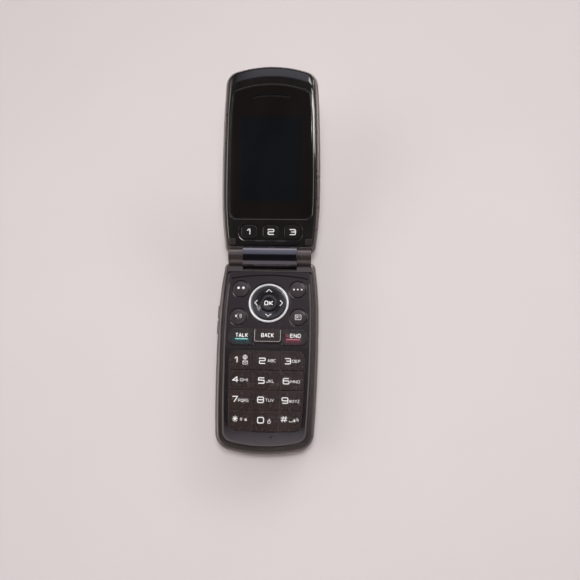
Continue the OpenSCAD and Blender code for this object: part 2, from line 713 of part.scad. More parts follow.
// Silicone sheet under the keys. The nubs pass through its holes.
module keypad_mat() {
    color([0.5, 0.5, 0.52]) difference() {
        base_slab(ledge_inset + 0.3, mat_start, [mat_z, mat_z + mat_t]);
        boss_room(mat_z - 1, 3);
        on_base(0, nav_s, mat_z - 1) cylinder(h = 3, r = nav_r + 0.3);
        for (p = concat(round_places, call_places, number_places))
            on_base(p.x, p.y, mat_z - 1) cylinder(h = 3, r = nub_r + 0.3);
        on_base(mic_place.x, mic_place.y, mat_z - 1) cylinder(h = 3, r = 2.3);
    }
}
// Pressed metal domes, one under each nub, each a flat cap of a cone.
module dome_switches() {
    color([0.8, 0.76, 0.6]) {
        for (p = concat(round_places, call_places, number_places, nav_places, [[0, nav_s]]))
            on_base(p.x, p.y, board_top) cylinder(h = dome_h, r1 = 1.9, r2 = 1.2);
        // the two switches behind the volume key
        for (end = [-1, 1]) base_box([volume_back + 0.4, volume_back + 1.35],
            [volume_s + end * volume_l / 3 - 1.5, volume_s + end * volume_l / 3 + 1.5],
            [volume_z[0] + 0.1, volume_z[1] - 0.1]);
    }
}

// Cut-outs in a board or sheet, round the screw bosses and out to its edge.
module boss_room(z, h) {
    for (p = screw_places) on_base(p.x, p.y, z) hull() for (d = [0, 3])
        translate(p.y < nav_s ? [sign(p.x) * d, 0, 0] : [0, -d, 0]) cylinder(h = h, r = boss_r + 0.3);
}

// --- electronics in the base ------------------------------------------------------------------------------
board_start = screw_s[0] - 1.1;
module main_board() {
    color([0.1, 0.3, 0.2]) difference() {
        base_slab(wall + 0.5, board_start, [board_z, board_top]);
        boss_room(board_z - 1, 3);
        base_box([-body_w, volume_back + 1.4], [volume_s - volume_l / 2 - 1, volume_s + volume_l / 2 + 1],
            [board_z - 1, board_top + 1]);
    }
}
can_h = 1.6;
can_side = 10.8;
can_gap = 3.4;
can_half = [body_w / 2 - can_side, 7];
can_s = [[24, battery_s - can_gap], [11.6, 22.8]];
module shield_cans() {
    color([0.72, 0.72, 0.74]) for (i = [0, 1])
        base_box([-can_half[i], can_half[i]], can_s[i], [board_z - can_h, board_z]);
}
module battery() {
    color([0.35, 0.36, 0.38]) difference() {
        base_box([-battery_w / 2, battery_w / 2], [battery_s, battery_s + battery_l],
            [battery_z, battery_z + battery_t]);
        for (x = contact_x)
            base_box([x - 1, x + 1], [well_s0, battery_s + 0.25], [battery_z + 0.8, battery_z + 3]);
    }
}
contact_pitch = 4;
contact_x = [for (i = [-1 : 1]) i * contact_pitch];
// A socket block under the board, with three spring fingers that reach through the wall of the well.
module battery_contacts() {
    color([0.85, 0.7, 0.35]) union() {
        base_box([contact_x[0] - contact_pitch / 2, contact_x[2] + contact_pitch / 2],
            [well_s0 - well_wall - 2.2, well_s0 - well_wall - 0.1], [board_z - 4, board_z - can_h - 0.1]);
        for (x = contact_x)
            base_box([x - 0.5, x + 0.5], [well_s0 - well_wall - 0.2, battery_s + 0.15],
                [battery_z + 1.4, battery_z + 2.4]);
    }
}
motor_r = 2.0;
motor_place = [7.8 - body_w / 2, 25.2];
motor_z = floor_t + motor_r + 0.25;
motor_l = 7;
weight_l = 3;
weight_r = 1.8;
// The can lies along Y, and its weight is on the end towards the hinge.
module vibration_motor() {
    color([0.75, 0.75, 0.77]) on_base(motor_place.x, motor_place.y, motor_z) rotate([90, 0, 0]) {
        cylinder(h = motor_l, r = motor_r);
        translate([0, 0, -weight_l - 0.6]) cylinder(h = weight_l + 1, r = 0.4);
    }
}
module vibration_weight() {
    color([0.5, 0.5, 0.52]) on_base(motor_place.x, motor_place.y - 0.4, motor_z) rotate([90, 0, 0])
        translate([0, 0, -weight_l]) difference() {
            cylinder(h = weight_l, r = weight_r);
            translate([-weight_r - 1, 0.6, -1]) cube([2 * weight_r + 2, weight_r + 1, weight_l + 2]);
            translate([0, 0, -1]) cylinder(h = weight_l + 2, r = 0.4 + run_gap);
        }
}
module loudspeaker() {
    color([0.2, 0.2, 0.22]) on_base(speaker_place.x, speaker_place.y, floor_t + 0.05) difference() {
        union() {
            cylinder(h = speaker_t - 1, r = speaker_r);
            cylinder(h = speaker_t, r = speaker_r - 2.5);
        }
        translate([0, 0, -1]) cylinder(h = 1.5, r = speaker_r - 1.2);
    }
}
antenna_half = body_w / 2 - screw_side[1] - boss_r - 0.45;
module antenna() {
    color([0.8, 0.65, 0.4]) base_box([-antenna_half, antenna_half],
        [well_s1 + well_wall + fit_gap, base_len - wall - 1.2], [raised_floor_z + 0.1, seam_z - 0.3]);
}
module microphone() {
    color([0.1, 0.1, 0.1]) on_base(mic_place.x, mic_place.y, board_top + 0.02) difference() {
        cylinder(h = plate_z - board_top - 0.07, r = 2);
        translate([0, 0, 0.4]) cylinder(h = 4, r = 0.5);
    }
}
module headset_socket() {
    color([0.12, 0.12, 0.12]) on_base(0, jack_s, jack_z) difference() {
        union() {
            translate([jack_mouth_x - jack_len - 1, -2.9, -2.4])
                cube([jack_len + 1 - wall - 1.2, 5.8, 4.8]);
            along_x(jack_mouth_x - wall - 1.6, sleeve_r, wall + 1.6);
        }
        along_x(jack_mouth_x - jack_len, jack_r, jack_len + 1);
    }
}
port_depth = 3.0;
port_half = 3.8;
module charging_port() {
    mouth_x = flap_pivot_x - flap_t - 0.4;
    color([0.7, 0.7, 0.72]) difference() {
        base_box([mouth_x - port_depth, mouth_x], [port_s - port_half, port_s + port_half],
            [port_z[0] + 0.1, port_z[1] - 0.1]);
        base_box([mouth_x - port_depth + 0.8, mouth_x + 1], [port_s - port_half + 0.5, port_s + port_half - 0.5],
            [port_z[0] + 0.5, port_z[1] - 0.5]);
    }
}
// Rubber flap: a skin that follows the side of the housing, hinged on a round edge at its chin end.
module port_flap() {
    color([0.1, 0.1, 0.1]) union() {
        intersection() {
            base_loft(rear_levels);
            base_box([flap_pivot_x - flap_t + 0.4, body_w], [flap_s[0] + 0.1, flap_s[1]], [port_z[0], port_z[1]]);
        }
        on_base(flap_pivot_x, flap_s[1], port_z[0]) cylinder(h = port_z[1] - port_z[0], r = flap_pivot_r);
    }
}
// A rocker that stands a little out of the side wall and pivots at its middle.
volume_out = -half_w(volume_s) - 0.35;
volume_back = volume_out + wall + 0.9;
module volume_key() {
    color([0.2, 0.2, 0.21]) difference() {
        side_pill([volume_out, volume_back], volume_l / 2, 0);
        base_box([-body_w, volume_out + 0.3], [volume_s - 0.5, volume_s + 0.5],
            [volume_z[0] - 1, volume_z[1] + 1]);
    }
}
module side_pill(x, half_l, grow) {
    r = (volume_z[1] - volume_z[0]) / 2 + grow;
    hull() for (end = [-1, 1])
        on_base(x[0], volume_s + end * (half_l - r), (volume_z[0] + volume_z[1]) / 2)
            along_x(0, r, x[1] - x[0], 32);
}
module housing_screws() {
    color([0.6, 0.6, 0.62]) for (i = [0 : 3])
        on_base(screw_places[i].x, screw_places[i].y, screw_head_z[i]) difference() {
            union() {
                cylinder(h = head_h, r = head_r);
                translate([0, 0, head_h - eps]) cylinder(h = screw_top - screw_head_z[i] - head_h, r = screw_r);
            }
            translate([0, 0, -eps]) cylinder(h = 0.5, r = 0.75, $fn = 6);
        }
}

// --- hinge pieces that stay with the base -------------------------------------------------------------------
// The cam's square head sits in the right knuckle, and its shaft turns in the cartridge.
module hinge_cam() {
    color([0.7, 0.7, 0.72]) on_hinge_axis() union() {
        translate([knuckle_x + 0.1, -socket_half, -socket_half])
            cube([socket_x - knuckle_x - 0.2, 2 * socket_half, 2 * socket_half]);
        along_x(barrel_half - shaft_len, cam_shaft_r, shaft_len + side_gap + 0.3);
    }
}
module hinge_bush() {
    color([0.6, 0.6, 0.62]) on_hinge_axis() difference() {
        along_x(-socket_x + 0.1, bush_r, socket_x - 0.1 - barrel_half + bush_in);
        along_x(-socket_x, bush_hole_r, socket_x);
    }
}

// --- the lid's frame ------------------------------------------------------------------------------------------
// Built with the hinge axis at the origin, s along +Y and the inner face towards +Z, then opened.
lid_tilt = 180 - open_angle;
lid_face = -face_gap / 2;
lid_back = lid_face - lid_t;
module in_lid() { translate([0, hinge_y, hinge_z]) rotate([lid_tilt, 0, 0]) children(); }
module lid_box(x, s, n) {
    translate([x[0], s[0], n[0]]) cube([x[1] - x[0], s[1] - s[0], n[1] - n[0]]);
}
module lid_slab(side, end, start, n) {
    translate([0, 0, n[0]]) linear_extrude(n[1] - n[0]) polygon(outline(lid_form, side, end, start));
}
module lid_loft(levels, start) {
    loft([for (l = levels) [for (p = outline(lid_form, l[1], l[2], start + l[1])) [p.x, p.y, l[0]]]]);
}

lid_seam = lid_face - 3.7;
cover_edge_n = lid_seam - 0.6;
cover_inset = 4.0;
lid_foot = knuckle_r + 0.3;
ear_x = knuckle_out + 0.25;
neck_s = 6.6;
frame_front = lid_face - 0.9;
frame_inner = 1.6;
frame_end = 0.8;
frame_round = 1.0;
bezel_back = lid_face - 2.3;
bezel_start = lid_foot + 0.6;
bezel_side = 1.7;
bezel_end = frame_end + 0.1;
lens_t = 1.2;
lens_ledge = 1.0;
lens_edge = 0.25;
lid_board_n = lid_face - 5.0;
cover_wall = 1.1;

// Leaves room for the knuckles between the two ears. Their necks never come round to the lid's side.
module knuckle_room() { along_x(-ear_x, lid_foot, 2 * ear_x); }
module lid_cover() {
    neck_end = [neck_s, lid_back + 1.0];
    back = tangent_point(neck_end, barrel_r, -1);
    color([0.14, 0.14, 0.16]) in_lid() difference() {
        union() {
            difference() {
                lid_loft(concat(flip(edge_levels(cover_edge_n, lid_back, cover_inset, cover_inset, 6)),
                    [[lid_seam - 0.05, 0, 0]]), lid_start);
                lid_slab(cover_inset - 0.8, cover_inset - 0.8, lid_foot + wall,
                    [lid_back + cover_wall, lid_seam + 1]);
                knuckle_room();
            }
            // barrel and the neck that joins it to the cover
            translate([-barrel_half, 0, 0]) rotate([90, 0, 90]) linear_extrude(barrel_len) union() {
                circle(barrel_r);
                polygon([[0, 0], back, neck_end, [neck_s, lid_seam - 0.1], [barrel_r + 0.15, lid_seam - 0.1],
                    [barrel_r + 0.15, lid_face - 0.5], [3, lid_face - 0.5]]);
            }
        }
        // chamber for the flat cable, bore for the cartridge, running bore for the bush
        along_x(chamber_x, chamber_r, chamber_l);
        along_x(-barrel_half - 1, bush_r + run_gap, bush_in + 2);
        along_x(cartridge_x - 0.5, cartridge_r + 0.02, barrel_len);
        // way for the flat cable through the neck
        lid_box([cable_x[0] - 0.4, cable_x[1] + 0.4], [0, neck_s + 2], [cable_n - 0.48, cable_n + 0.57]);
        // window seat
        translate([0, outer_win_s, lid_back - 1]) linear_extrude(4) window_2d(0.1);
        translate([0, outer_win_s, lid_back - 1]) linear_extrude(1 + outer_lens_t + 0.05) window_2d(0.9);
    }
}

outer_win_s = lid_len - outer_win_end;
outer_win_w = body_w - 2 * outer_win_side;
outer_lens_t = 0.7;
module window_2d(grow) {
    offset(r = 4 + grow, $fn = 32) square([outer_win_w - 8 - 1.6, outer_win_h - 8 - 1.6], center = true);
}
module outer_window() {
    color([0.05, 0.05, 0.07]) in_lid() translate([0, outer_win_s, lid_back])
        linear_extrude(outer_lens_t) window_2d(0.82);
}
outer_lcd_side = 2.5;
outer_lcd_end = 1.5;
module outer_display() {
    half = [outer_win_w / 2 - outer_lcd_side, outer_win_h / 2 - outer_lcd_end];
    color([0.3, 0.34, 0.3]) in_lid() lid_box([-half.x, half.x], [outer_win_s - half.y, outer_win_s + half.y],
        [lid_back + cover_wall + 0.1, lid_board_n - 0.9]);
}

// Metal-look band round the edge of the lid, between its cover and its bezel.
module lid_frame() {
    color([0.45, 0.45, 0.46]) in_lid() difference() {
        lid_loft(concat([[lid_seam, 0, 0]], edge_levels(frame_front - 1.3, frame_front, frame_round,
            frame_end - 0.1, 4)), lid_start);
        lid_slab(frame_inner, frame_end, bezel_start - 0.1, [bezel_back - 0.05, lid_face + 1]);
        lid_slab(frame_inner + 1.4, frame_inner + 1.4, bezel_start + 1.0, [lid_seam - 1, lid_face + 1]);
        lid_box([cable_x[0] - 0.6, cable_x[1] + 0.6], [-2, bezel_start + 2], [lid_seam - 1, bezel_back - 0.1]);
        knuckle_room();
        lid_box([-barrel_half - 0.1, barrel_half + 0.1], [-2, barrel_r + 0.25], [lid_seam - 1, lid_face + 1]);
    }
}

// The far end of the bezel is a crown that slopes down to the lid's edge.
bezel_levels = [[bezel_back, bezel_side, bezel_end], [lid_face - 1.15, bezel_side, bezel_end + 0.05],
    [lid_face - 0.8, 1.75, 1.7], [lid_face - 0.2, 2.05, 4.2], [lid_face - 0.04, 2.35, 5.2], [lid_face, 2.7, 6.6]];
quick_pitch = (body_w - 2 * quick_side - quick_w) / 2;
quick_places = [-quick_pitch, 0, quick_pitch];
quick_r = 2.1;
tray_margin = 1.0;
plug_side = 5.2;
plug_x = body_w / 2 - plug_side;
plug_w = 3.2;
plug_s = bezel_start + 2.1;
module plug_box(x, half, n) { lid_box([x - half, x + half], [plug_s - half, plug_s + half], n); }
module quick_2d(grow) {
    offset(r = quick_r + grow, $fn = 32) square([quick_w - 2 * quick_r, quick_h - 2 * quick_r], center = true);
}
tray_r = 3.4;
tray_d = 0.45;
slope_d = 0.3;
slope_w = 0.4;
module tray_2d(grow) {
    w = 2 * quick_pitch + quick_w + 2 * tray_margin;
    offset(r = tray_r + grow, $fn = 40)
        square([w - 2 * tray_r, quick_h + 2 * tray_margin - 2 * tray_r], center = true);
}
ear_s = lid_len - ear_end;
ear_arc_r = 42;
receiver = [13, 6];
module ear_slot_2d(grow) {
    r = ear_arc_r;
    intersection() {
        translate([0, ear_s - r]) difference() {
            circle(r + 0.55 + grow, $fn = 96);
            circle(r - 0.55 - grow, $fn = 96);
        }
        translate([-ear_slot_w / 2 - grow, ear_s - ear_slot_w / 2]) square([ear_slot_w + 2 * grow, ear_slot_w]);
    }
}
module lens_2d(inset) {
    polygon(outline(lid_form, lens_side + inset, lens_end + inset, lens_s + inset));
}
module lens_outline_2d(inset) {
    offset(r = 3.2, $fn = 32) offset(delta = -3.2) lens_2d(inset);
}
module lid_bezel() {
    color([0.05, 0.045, 0.05]) in_lid() difference() {
        lid_loft(bezel_levels, bezel_start - bezel_side);
        translate([0, 0, lid_face - lens_t - 0.08]) linear_extrude(4) lens_outline_2d(-0.08);
        translate([0, 0, bezel_back - 1]) linear_extrude(4) lens_outline_2d(lens_ledge);
        lid_box([-barrel_half - 0.1, barrel_half + 0.1], [-2, barrel_r + 0.35], [bezel_back - 1, lid_face + 1]);
        // tray of the three keys, and the slopes round it and round the window
        translate([0, quick_s, lid_face - tray_d]) hull() {
            linear_extrude(0.1) tray_2d(0);
            translate([0, 0, tray_d + 0.05]) linear_extrude(1) tray_2d(slope_w);
        }
        translate([0, 0, lid_face - 2 * slope_d]) hull() {
            linear_extrude(0.1) lens_outline_2d(slope_w);
            translate([0, 0, 2 * slope_d + 0.05]) linear_extrude(1) lens_outline_2d(-slope_w);
        }
        for (x = quick_places) translate([x, quick_s, bezel_back - 1]) linear_extrude(4) quick_2d(0.12);
        for (x = [-plug_x, plug_x]) plug_box(x, plug_w / 2 + 0.1, [lid_face - 1.0, lid_face + 1]);
    }
}
module display_window() {
    color([0.04, 0.045, 0.05]) in_lid() translate([0, 0, lid_face - lens_t]) difference() {
        hull() {
            linear_extrude(lens_t - 0.04 - lens_edge) lens_outline_2d(0);
            linear_extrude(lens_t - 0.04) lens_outline_2d(lens_edge);
        }
        translate([0, 0, -1]) linear_extrude(4) ear_slot_2d(0);
    }
}
lcd_w = body_w - 2 * lcd_side;
lcd_far = lid_len - lcd_end;
lcd_t = 2.4;
lcd_tail = 2.5;
lcd_top = lid_face - lens_t - 0.15;
module lcd_module() {
    color([0.08, 0.09, 0.1]) in_lid() union() {
        lid_box([-lcd_w / 2, lcd_w / 2], [lcd_s, lcd_far], [lcd_top - lcd_t, lcd_top]);
        lid_box([-lcd_w / 2 + 2, lcd_w / 2 - 2], [lcd_s - lcd_tail, lcd_s + eps],
            [lcd_top - lcd_t, lcd_top - 0.6]);
    }
}
// Receiver with the fine mesh that shows in the slot of the window.
module earpiece() {
    color([0.25, 0.25, 0.26]) in_lid() union() {
        translate([0, 0, lid_face - lens_t - 0.05]) linear_extrude(lens_t - 0.5) ear_slot_2d(-0.08);
        lid_box([-receiver.x / 2, receiver.x / 2], [ear_s - receiver.y / 2, ear_s + receiver.y / 2],
            [lid_face - 3.6, lid_face - lens_t - 0.04]);
    }
}
module quick_key(i) {
    color([0.06, 0.055, 0.06]) in_lid() translate([quick_places[i], quick_s, 0]) union() {
        translate([0, 0, lid_face - 2.6]) linear_extrude(2.4) quick_2d(0);
        translate([0, 0, lid_board_n + dome_h + key_travel + 0.05]) cylinder(h = 2.4, r = nub_r);
    }
}
lid_board_side = 7.4;
lid_board_half = body_w / 2 - lid_board_side;
lid_board_s = 7.2;
module lid_board() {
    color([0.1, 0.3, 0.2]) in_lid() union() {
        lid_box([-lid_board_half, lid_board_half], [lid_board_s, ear_s], [lid_board_n - board_t, lid_board_n]);
        for (x = quick_places) translate([x, quick_s, lid_board_n - eps])
            cylinder(h = dome_h, r1 = 1.9, r2 = 1.2);
    }
}
// Flat cable: a strip from the lid board to a roll in the barrel, and on through the bush.
module lid_cable() {
    color([0.75, 0.5, 0.15]) in_lid() union() {
        lid_box(cable_x, [0, lid_board_s + 1.1], [cable_n, cable_n + cable_t]);
        lid_box(cable_x, [lid_board_s + 0.1, lid_board_s + 1.2], [lid_board_n + 0.05, cable_n + cable_t]);
        difference() {
            along_x(cable_x[0] - 0.2, chamber_r - 0.3, cable_x[1] - cable_x[0] + 0.6);
            along_x(cable_x[0] - 1, chamber_r - 0.7, chamber_l + 1);
        }
    }
}
module hinge_cartridge() {
    color([0.7, 0.7, 0.72]) in_lid() difference() {
        along_x(cartridge_x, cartridge_r, barrel_half - 0.1 - cartridge_x);
        along_x(barrel_half - shaft_len - 0.2, cam_shaft_r + run_gap, shaft_len + 1);
    }
}
module lid_screw_plugs() {
    color([0.2, 0.17, 0.17]) in_lid() for (x = [-plug_x, plug_x])
        plug_box(x, plug_w / 2, [lid_face - 0.98, lid_face + 0.3]);
}

rear_housing();
front_housing();
keypad_plate();
nav_trim_ring();
nav_rocker();
nav_key();
ok_key();
round_key(0);  // soft_key_left
round_key(1);  // soft_key_right
round_key(2);  // speaker_key
round_key(3);  // contacts_key
talk_key();
back_key();
end_key();
number_key(-1, 0);  // key_1
number_key(0, 0);  // key_2
number_key(1, 0);  // key_3
number_key(-1, 1);  // key_4
number_key(0, 1);  // key_5
number_key(1, 1);  // key_6
number_key(-1, 2);  // key_7
number_key(0, 2);  // key_8
number_key(1, 2);  // key_9
number_key(-1, 3);  // key_star
number_key(0, 3);  // key_0
number_key(1, 3);  // key_hash
keypad_mat();
dome_switches();
main_board();
shield_cans();
battery();
battery_cover();
battery_contacts();
vibration_motor();
vibration_weight();
loudspeaker();
antenna();
microphone();
headset_socket();
charging_port();
port_flap();
volume_key();
housing_screws();
hinge_cam();
hinge_bush();
lid_cover();
lid_frame();
lid_bezel();
display_window();
lcd_module();
earpiece();
quick_key(0);  // quick_key_1
quick_key(1);  // quick_key_2
quick_key(2);  // quick_key_3
lid_board();
outer_window();
outer_display();
lid_cable();
hinge_cartridge();
lid_screw_plugs();
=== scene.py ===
"""Looks of the clamshell phone: finishes, printed legends, floor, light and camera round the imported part."""
import math

import bmesh
import bpy
from mathutils import Matrix, Quaternion, Vector
from mathutils.bvhtree import BVHTree


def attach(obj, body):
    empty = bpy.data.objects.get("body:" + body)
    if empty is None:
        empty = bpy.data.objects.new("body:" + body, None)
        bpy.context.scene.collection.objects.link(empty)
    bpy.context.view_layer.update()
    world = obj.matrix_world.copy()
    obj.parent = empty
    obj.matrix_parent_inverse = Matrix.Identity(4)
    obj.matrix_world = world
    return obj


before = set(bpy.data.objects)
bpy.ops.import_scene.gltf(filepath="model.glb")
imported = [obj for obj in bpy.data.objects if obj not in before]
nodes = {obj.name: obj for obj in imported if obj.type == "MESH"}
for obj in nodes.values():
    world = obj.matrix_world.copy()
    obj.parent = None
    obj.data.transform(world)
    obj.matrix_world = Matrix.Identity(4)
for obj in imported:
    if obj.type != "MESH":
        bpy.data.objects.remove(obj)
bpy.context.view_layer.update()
MM = 0.001

# --- places on the part, in millimetres -----------------------------------------------------------
# x runs to the right, s away from the hinge's axis along either half, and n out of the open lid's face.
HINGE_Y = 47.0
HINGE_Z = 12.3
OPEN_ANGLE = 160.0
LID_TILT = math.radians(180.0 - OPEN_ANGLE)
LID_FACE = -0.3
NAV_S = 22.4
KEY_TOP = 12.0
PLATE_TOP_Z = 11.8
# The picture area behind the display window: half its width, and its two ends
LCD_HALF = 14.3
LCD_S = (26.6, 66.5)

LID_S = Vector((0, math.cos(LID_TILT), math.sin(LID_TILT)))
LID_N = Vector((0, -math.sin(LID_TILT), math.cos(LID_TILT)))
HINGE = Vector((0, HINGE_Y, HINGE_Z))


def base_point(x, s, z):
    """A place on the lower half, at height z over the floor, in the scene's metres."""
    return Vector((x, HINGE_Y - s, z)) * MM


def lid_point(x, s, n):
    """The same on the open lid, where n is the height over the lid's own plane through the hinge's axis."""
    return (HINGE + Vector((x, 0, 0)) + LID_S * s + LID_N * n) * MM


# --- camera ---------------------------------------------------------------------------------------
# Solved from the outline, the ring, the keys and the hinge in the photograph, for a frame of 580 x 580.
# TURN is axis times angle in radians, and SHIFT is in millimetres.
FRAME_PX = 580
FOCAL_PX = 560.0
BACK_ELEVATION = math.radians(75)
TURN = Vector((-0.0347, -0.0329, -0.0142))
SHIFT = Vector((-10.16, -32.96, -264.94))
SENSOR_MM = 36.0
CLIP_M = (0.01, 50.0)


def make_camera():
    right = Vector((1, 0, 0))
    back = Vector((0, -math.cos(BACK_ELEVATION), math.sin(BACK_ELEVATION)))
    base = Matrix((right, back.cross(right), back))
    turn = Quaternion(TURN.normalized(), TURN.length).to_matrix() @ base
    data = bpy.data.cameras.new("camera")
    data.sensor_width = SENSOR_MM
    data.lens = FOCAL_PX / FRAME_PX * data.sensor_width
    data.clip_start, data.clip_end = CLIP_M
    cam = bpy.data.objects.new("camera", data)
    back_turn = turn.transposed()
    cam.matrix_world = Matrix.Translation(back_turn @ -SHIFT * MM) @ back_turn.to_4x4()
    bpy.context.scene.collection.objects.link(cam)
    bpy.context.scene.camera = cam


make_camera()


# --- shader helpers -------------------------------------------------------------------------------
# Degrees of lean at which a face is fully polished, and at which that begins
LEAN = (22.0, 11.0)
UP = (0.0, 0.0, 1.0)
# The lid's glossy faces drop, in shading only, by SAG_RATE times the square of the way past SAG_FROM
SAG_FROM, SAG_RATE = 17.2, 0.03
# Specular level of the dark pieces, where 0.5 is the plain one
SHEEN = 0.66
NOISE_ROUGHNESS = 0.55
BEVEL_SAMPLES = 6
# Levels on the keypad plate: the well round the keys lies below WELL_Z, the rim's top above RIM_Z; they bound
# the painted shade on the well and the painted shade and highlight on the rim's top
WELL_Z, WELL_SOFT = 11.32, 0.1
RIM_Z, RIM_SOFT = 11.65, 0.05
# Where the painted shade on the rim's top and the painted highlight on its foot begin, and half the length
# over which each one fades in
RIM_FROM_S, FOOT_FROM_S, RIM_FADE = 18.0, 80.5, 4.0


class Shader:
    """A material with one Principled shader, and short calls to wire detail into it."""

    def __init__(self, name, **values):
        self.mat = bpy.data.materials.new(name)
        self.mat.use_nodes = True
        self.tree = self.mat.node_tree
        self.bsdf = self.tree.nodes["Principled BSDF"]
        for key, value in values.items():
            self.bsdf.inputs[key.replace("_", " ")].default_value = value
        self.coord = self.node("ShaderNodeTexCoord").outputs["Object"]

    def node(self, kind, **props):
        n = self.tree.nodes.new(kind)
        for key, value in props.items():
            setattr(n, key, value)
        return n

    def link(self, a, b):
        self.tree.links.new(a, b)

    def noise(self, scale, detail=3.0, stretch=None):
        n = self.node("ShaderNodeTexNoise")
        n.inputs["Scale"].default_value = scale
        n.inputs["Detail"].default_value = detail
        n.inputs["Roughness"].default_value = NOISE_ROUGHNESS
        source = self.coord
        if stretch:
            m = self.node("ShaderNodeMapping")
            m.inputs["Scale"].default_value = stretch
            self.link(source, m.inputs["Vector"])
            source = m.outputs["Vector"]
        self.link(source, n.inputs["Vector"])
        return n.outputs["Fac"]

    def spread(self, value, low, high, start=0.3, end=0.7):
        """Maps the middle of a 0..1 value to low..high."""
        n = self.node("ShaderNodeMapRange")
        for key, v in (("From Min", start), ("From Max", end), ("To Min", low), ("To Max", high)):
            n.inputs[key].default_value = v
        self.link(value, n.inputs["Value"])
        return n.outputs["Result"]

    def math(self, op, a, b):
        n = self.node("ShaderNodeMath", operation=op)
        for i, v in enumerate((a, b)):
            if isinstance(v, (int, float)):
                n.inputs[i].default_value = v
            else:
                self.link(v, n.inputs[i])
        return n.outputs[0]

    def blend(self, factor, a, b):
        n = self.node("ShaderNodeMix", data_type="RGBA")
        for socket, v in ((0, factor), (6, a), (7, b)):
            if isinstance(v, (tuple, list)):
                n.inputs[socket].default_value = (*v[:3], 1.0)
            else:
                self.link(v, n.inputs[socket])
        return n.outputs[2]

    def colour(self, out):
        self.link(out, self.bsdf.inputs["Base Color"])

    def rough(self, out):
        self.link(out, self.bsdf.inputs["Roughness"])

    def bump(self, height, distance, strength=1.0, edge=0.0, sag=False):
        """Fine relief in millimetres, over edges that are rounded by edge millimetres."""
        n = self.node("ShaderNodeBump")
        n.inputs["Distance"].default_value = distance * MM
        n.inputs["Strength"].default_value = strength
        self.link(height, n.inputs["Height"])
        if edge:
            b = self.node("ShaderNodeBevel", samples=BEVEL_SAMPLES)
            b.inputs["Radius"].default_value = edge * MM
            self.link(b.outputs["Normal"], n.inputs["Normal"])
        if sag:
            b = self.node("ShaderNodeBump")
            b.inputs["Distance"].default_value = MM
            self.link(self.sag(), b.inputs["Height"])
            self.link(b.outputs["Normal"], n.inputs["Normal"])
        self.link(n.outputs["Normal"], self.bsdf.inputs["Normal"])

    def axis(self, index):
        n = self.node("ShaderNodeSeparateXYZ")
        self.link(self.coord, n.inputs[0])
        return n.outputs[index]

    def sag(self):
        """Millimetres by which a face of the lid drops towards its long sides."""
        aside = self.math("ABSOLUTE", self.axis(0), 0.0)
        off = self.math("MAXIMUM", self.math("SUBTRACT", aside, SAG_FROM * MM), 0.0)
        return self.math("MULTIPLY", self.math("POWER", self.math("DIVIDE", off, MM), 2.0), -SAG_RATE)

    def step(self, index, at, soft, low, high):
        """Goes from low to high at a place on an axis, over soft millimetres to each side of it."""
        return self.spread(self.axis(index), low, high, (at - soft) * MM, (at + soft) * MM)

    def present_colour(self):
        return self.bsdf.inputs["Base Color"].links[0].from_socket

    def paint_well_shade(self, colour):
        """Painted shade: a darker colour on all that lies below WELL_Z, where the well round the keys is
        recessed.
        """
        above = self.present_colour()
        below = self.step(2, WELL_Z, WELL_SOFT, 1.0, 0.0)
        self.colour(self.blend(below, above, colour))

    def paint_rim_shade_and_highlight(self, from_s, colour):
        """Paints another colour on all that lies above RIM_Z and beyond from_s: painted shade where it is
        darker, a painted highlight where it is paler.
        """
        rest = self.present_colour()
        rim = self.step(2, RIM_Z, RIM_SOFT, 0.0, 1.0)
        along = self.step(1, HINGE_Y - from_s, RIM_FADE, 1.0, 0.0)
        self.colour(self.blend(self.math("MULTIPLY", rim, along), rest, colour))

    def slope(self, up):
        """0 on a face that looks along up, and 1 where it leans over by more than LEAN."""
        n = self.node("ShaderNodeVectorMath", operation="DOT_PRODUCT")
        self.link(self.node("ShaderNodeTexCoord").outputs["Normal"], n.inputs[0])
        n.inputs[1].default_value = up
        return self.spread(n.outputs["Value"], 1.0, 0.0, *(math.cos(math.radians(a)) for a in LEAN))


def shade(colour, amount):
    """The colour, darker or brighter by a factor."""
    return tuple(max(0.0, c * amount) for c in colour)


# Noise scales are in cells per metre.
CLOUD_SCALE, DULL_SCALE = 90.0, 340.0
CLOUD_SHARE, GRAIN_SHARE = 0.65, 0.35
DULL_RANGE = (0.86, 1.14)


def plastic(name, colour, rough, grain=1500.0, relief=0.004, vary=0.16, edge=0.0, polish=None, **values):
    """Moulded or painted plastic: cloudy colour, fine grain, uneven gloss, and polish where faces lean."""
    s = Shader(name, **values)
    cloud = s.noise(CLOUD_SCALE, 4.0)
    fine = s.noise(grain, 2.0)
    tone = s.math("ADD", s.math("MULTIPLY", cloud, CLOUD_SHARE), s.math("MULTIPLY", fine, GRAIN_SHARE))
    s.colour(s.blend(s.spread(tone, 0.0, 1.0), shade(colour, 1 - vary), shade(colour, 1 + vary)))
    dull = s.spread(s.noise(DULL_SCALE, 5.0), *(rough * share for share in DULL_RANGE))
    if polish:
        lean = s.slope(UP)
        dull = s.math("ADD", s.math("MULTIPLY", dull, s.math("SUBTRACT", 1.0, lean)),
                      s.math("MULTIPLY", lean, polish))
    s.rough(dull)
    s.bump(fine, relief, 1.0, edge)
    return s


def gloss(name, colour, rough, sag=False):
    """Polished plastic: dust, faint handling marks and a slightly wavy surface."""
    s = Shader(name, Coat_Weight=0.7, Coat_Roughness=0.03, Specular_IOR_Level=SHEEN)
    smear = s.noise(120.0, 6.0, stretch=(1.0, 0.35, 1.0))
    s.colour(s.blend(s.spread(smear, 0.0, 1.0), shade(colour, 0.8), shade(colour, 1.25)))
    s.rough(s.spread(smear, rough, rough * 2.4, 0.42, 0.72))
    s.bump(s.noise(60.0, 2.0), 0.012, 0.35, sag=sag)
    return s


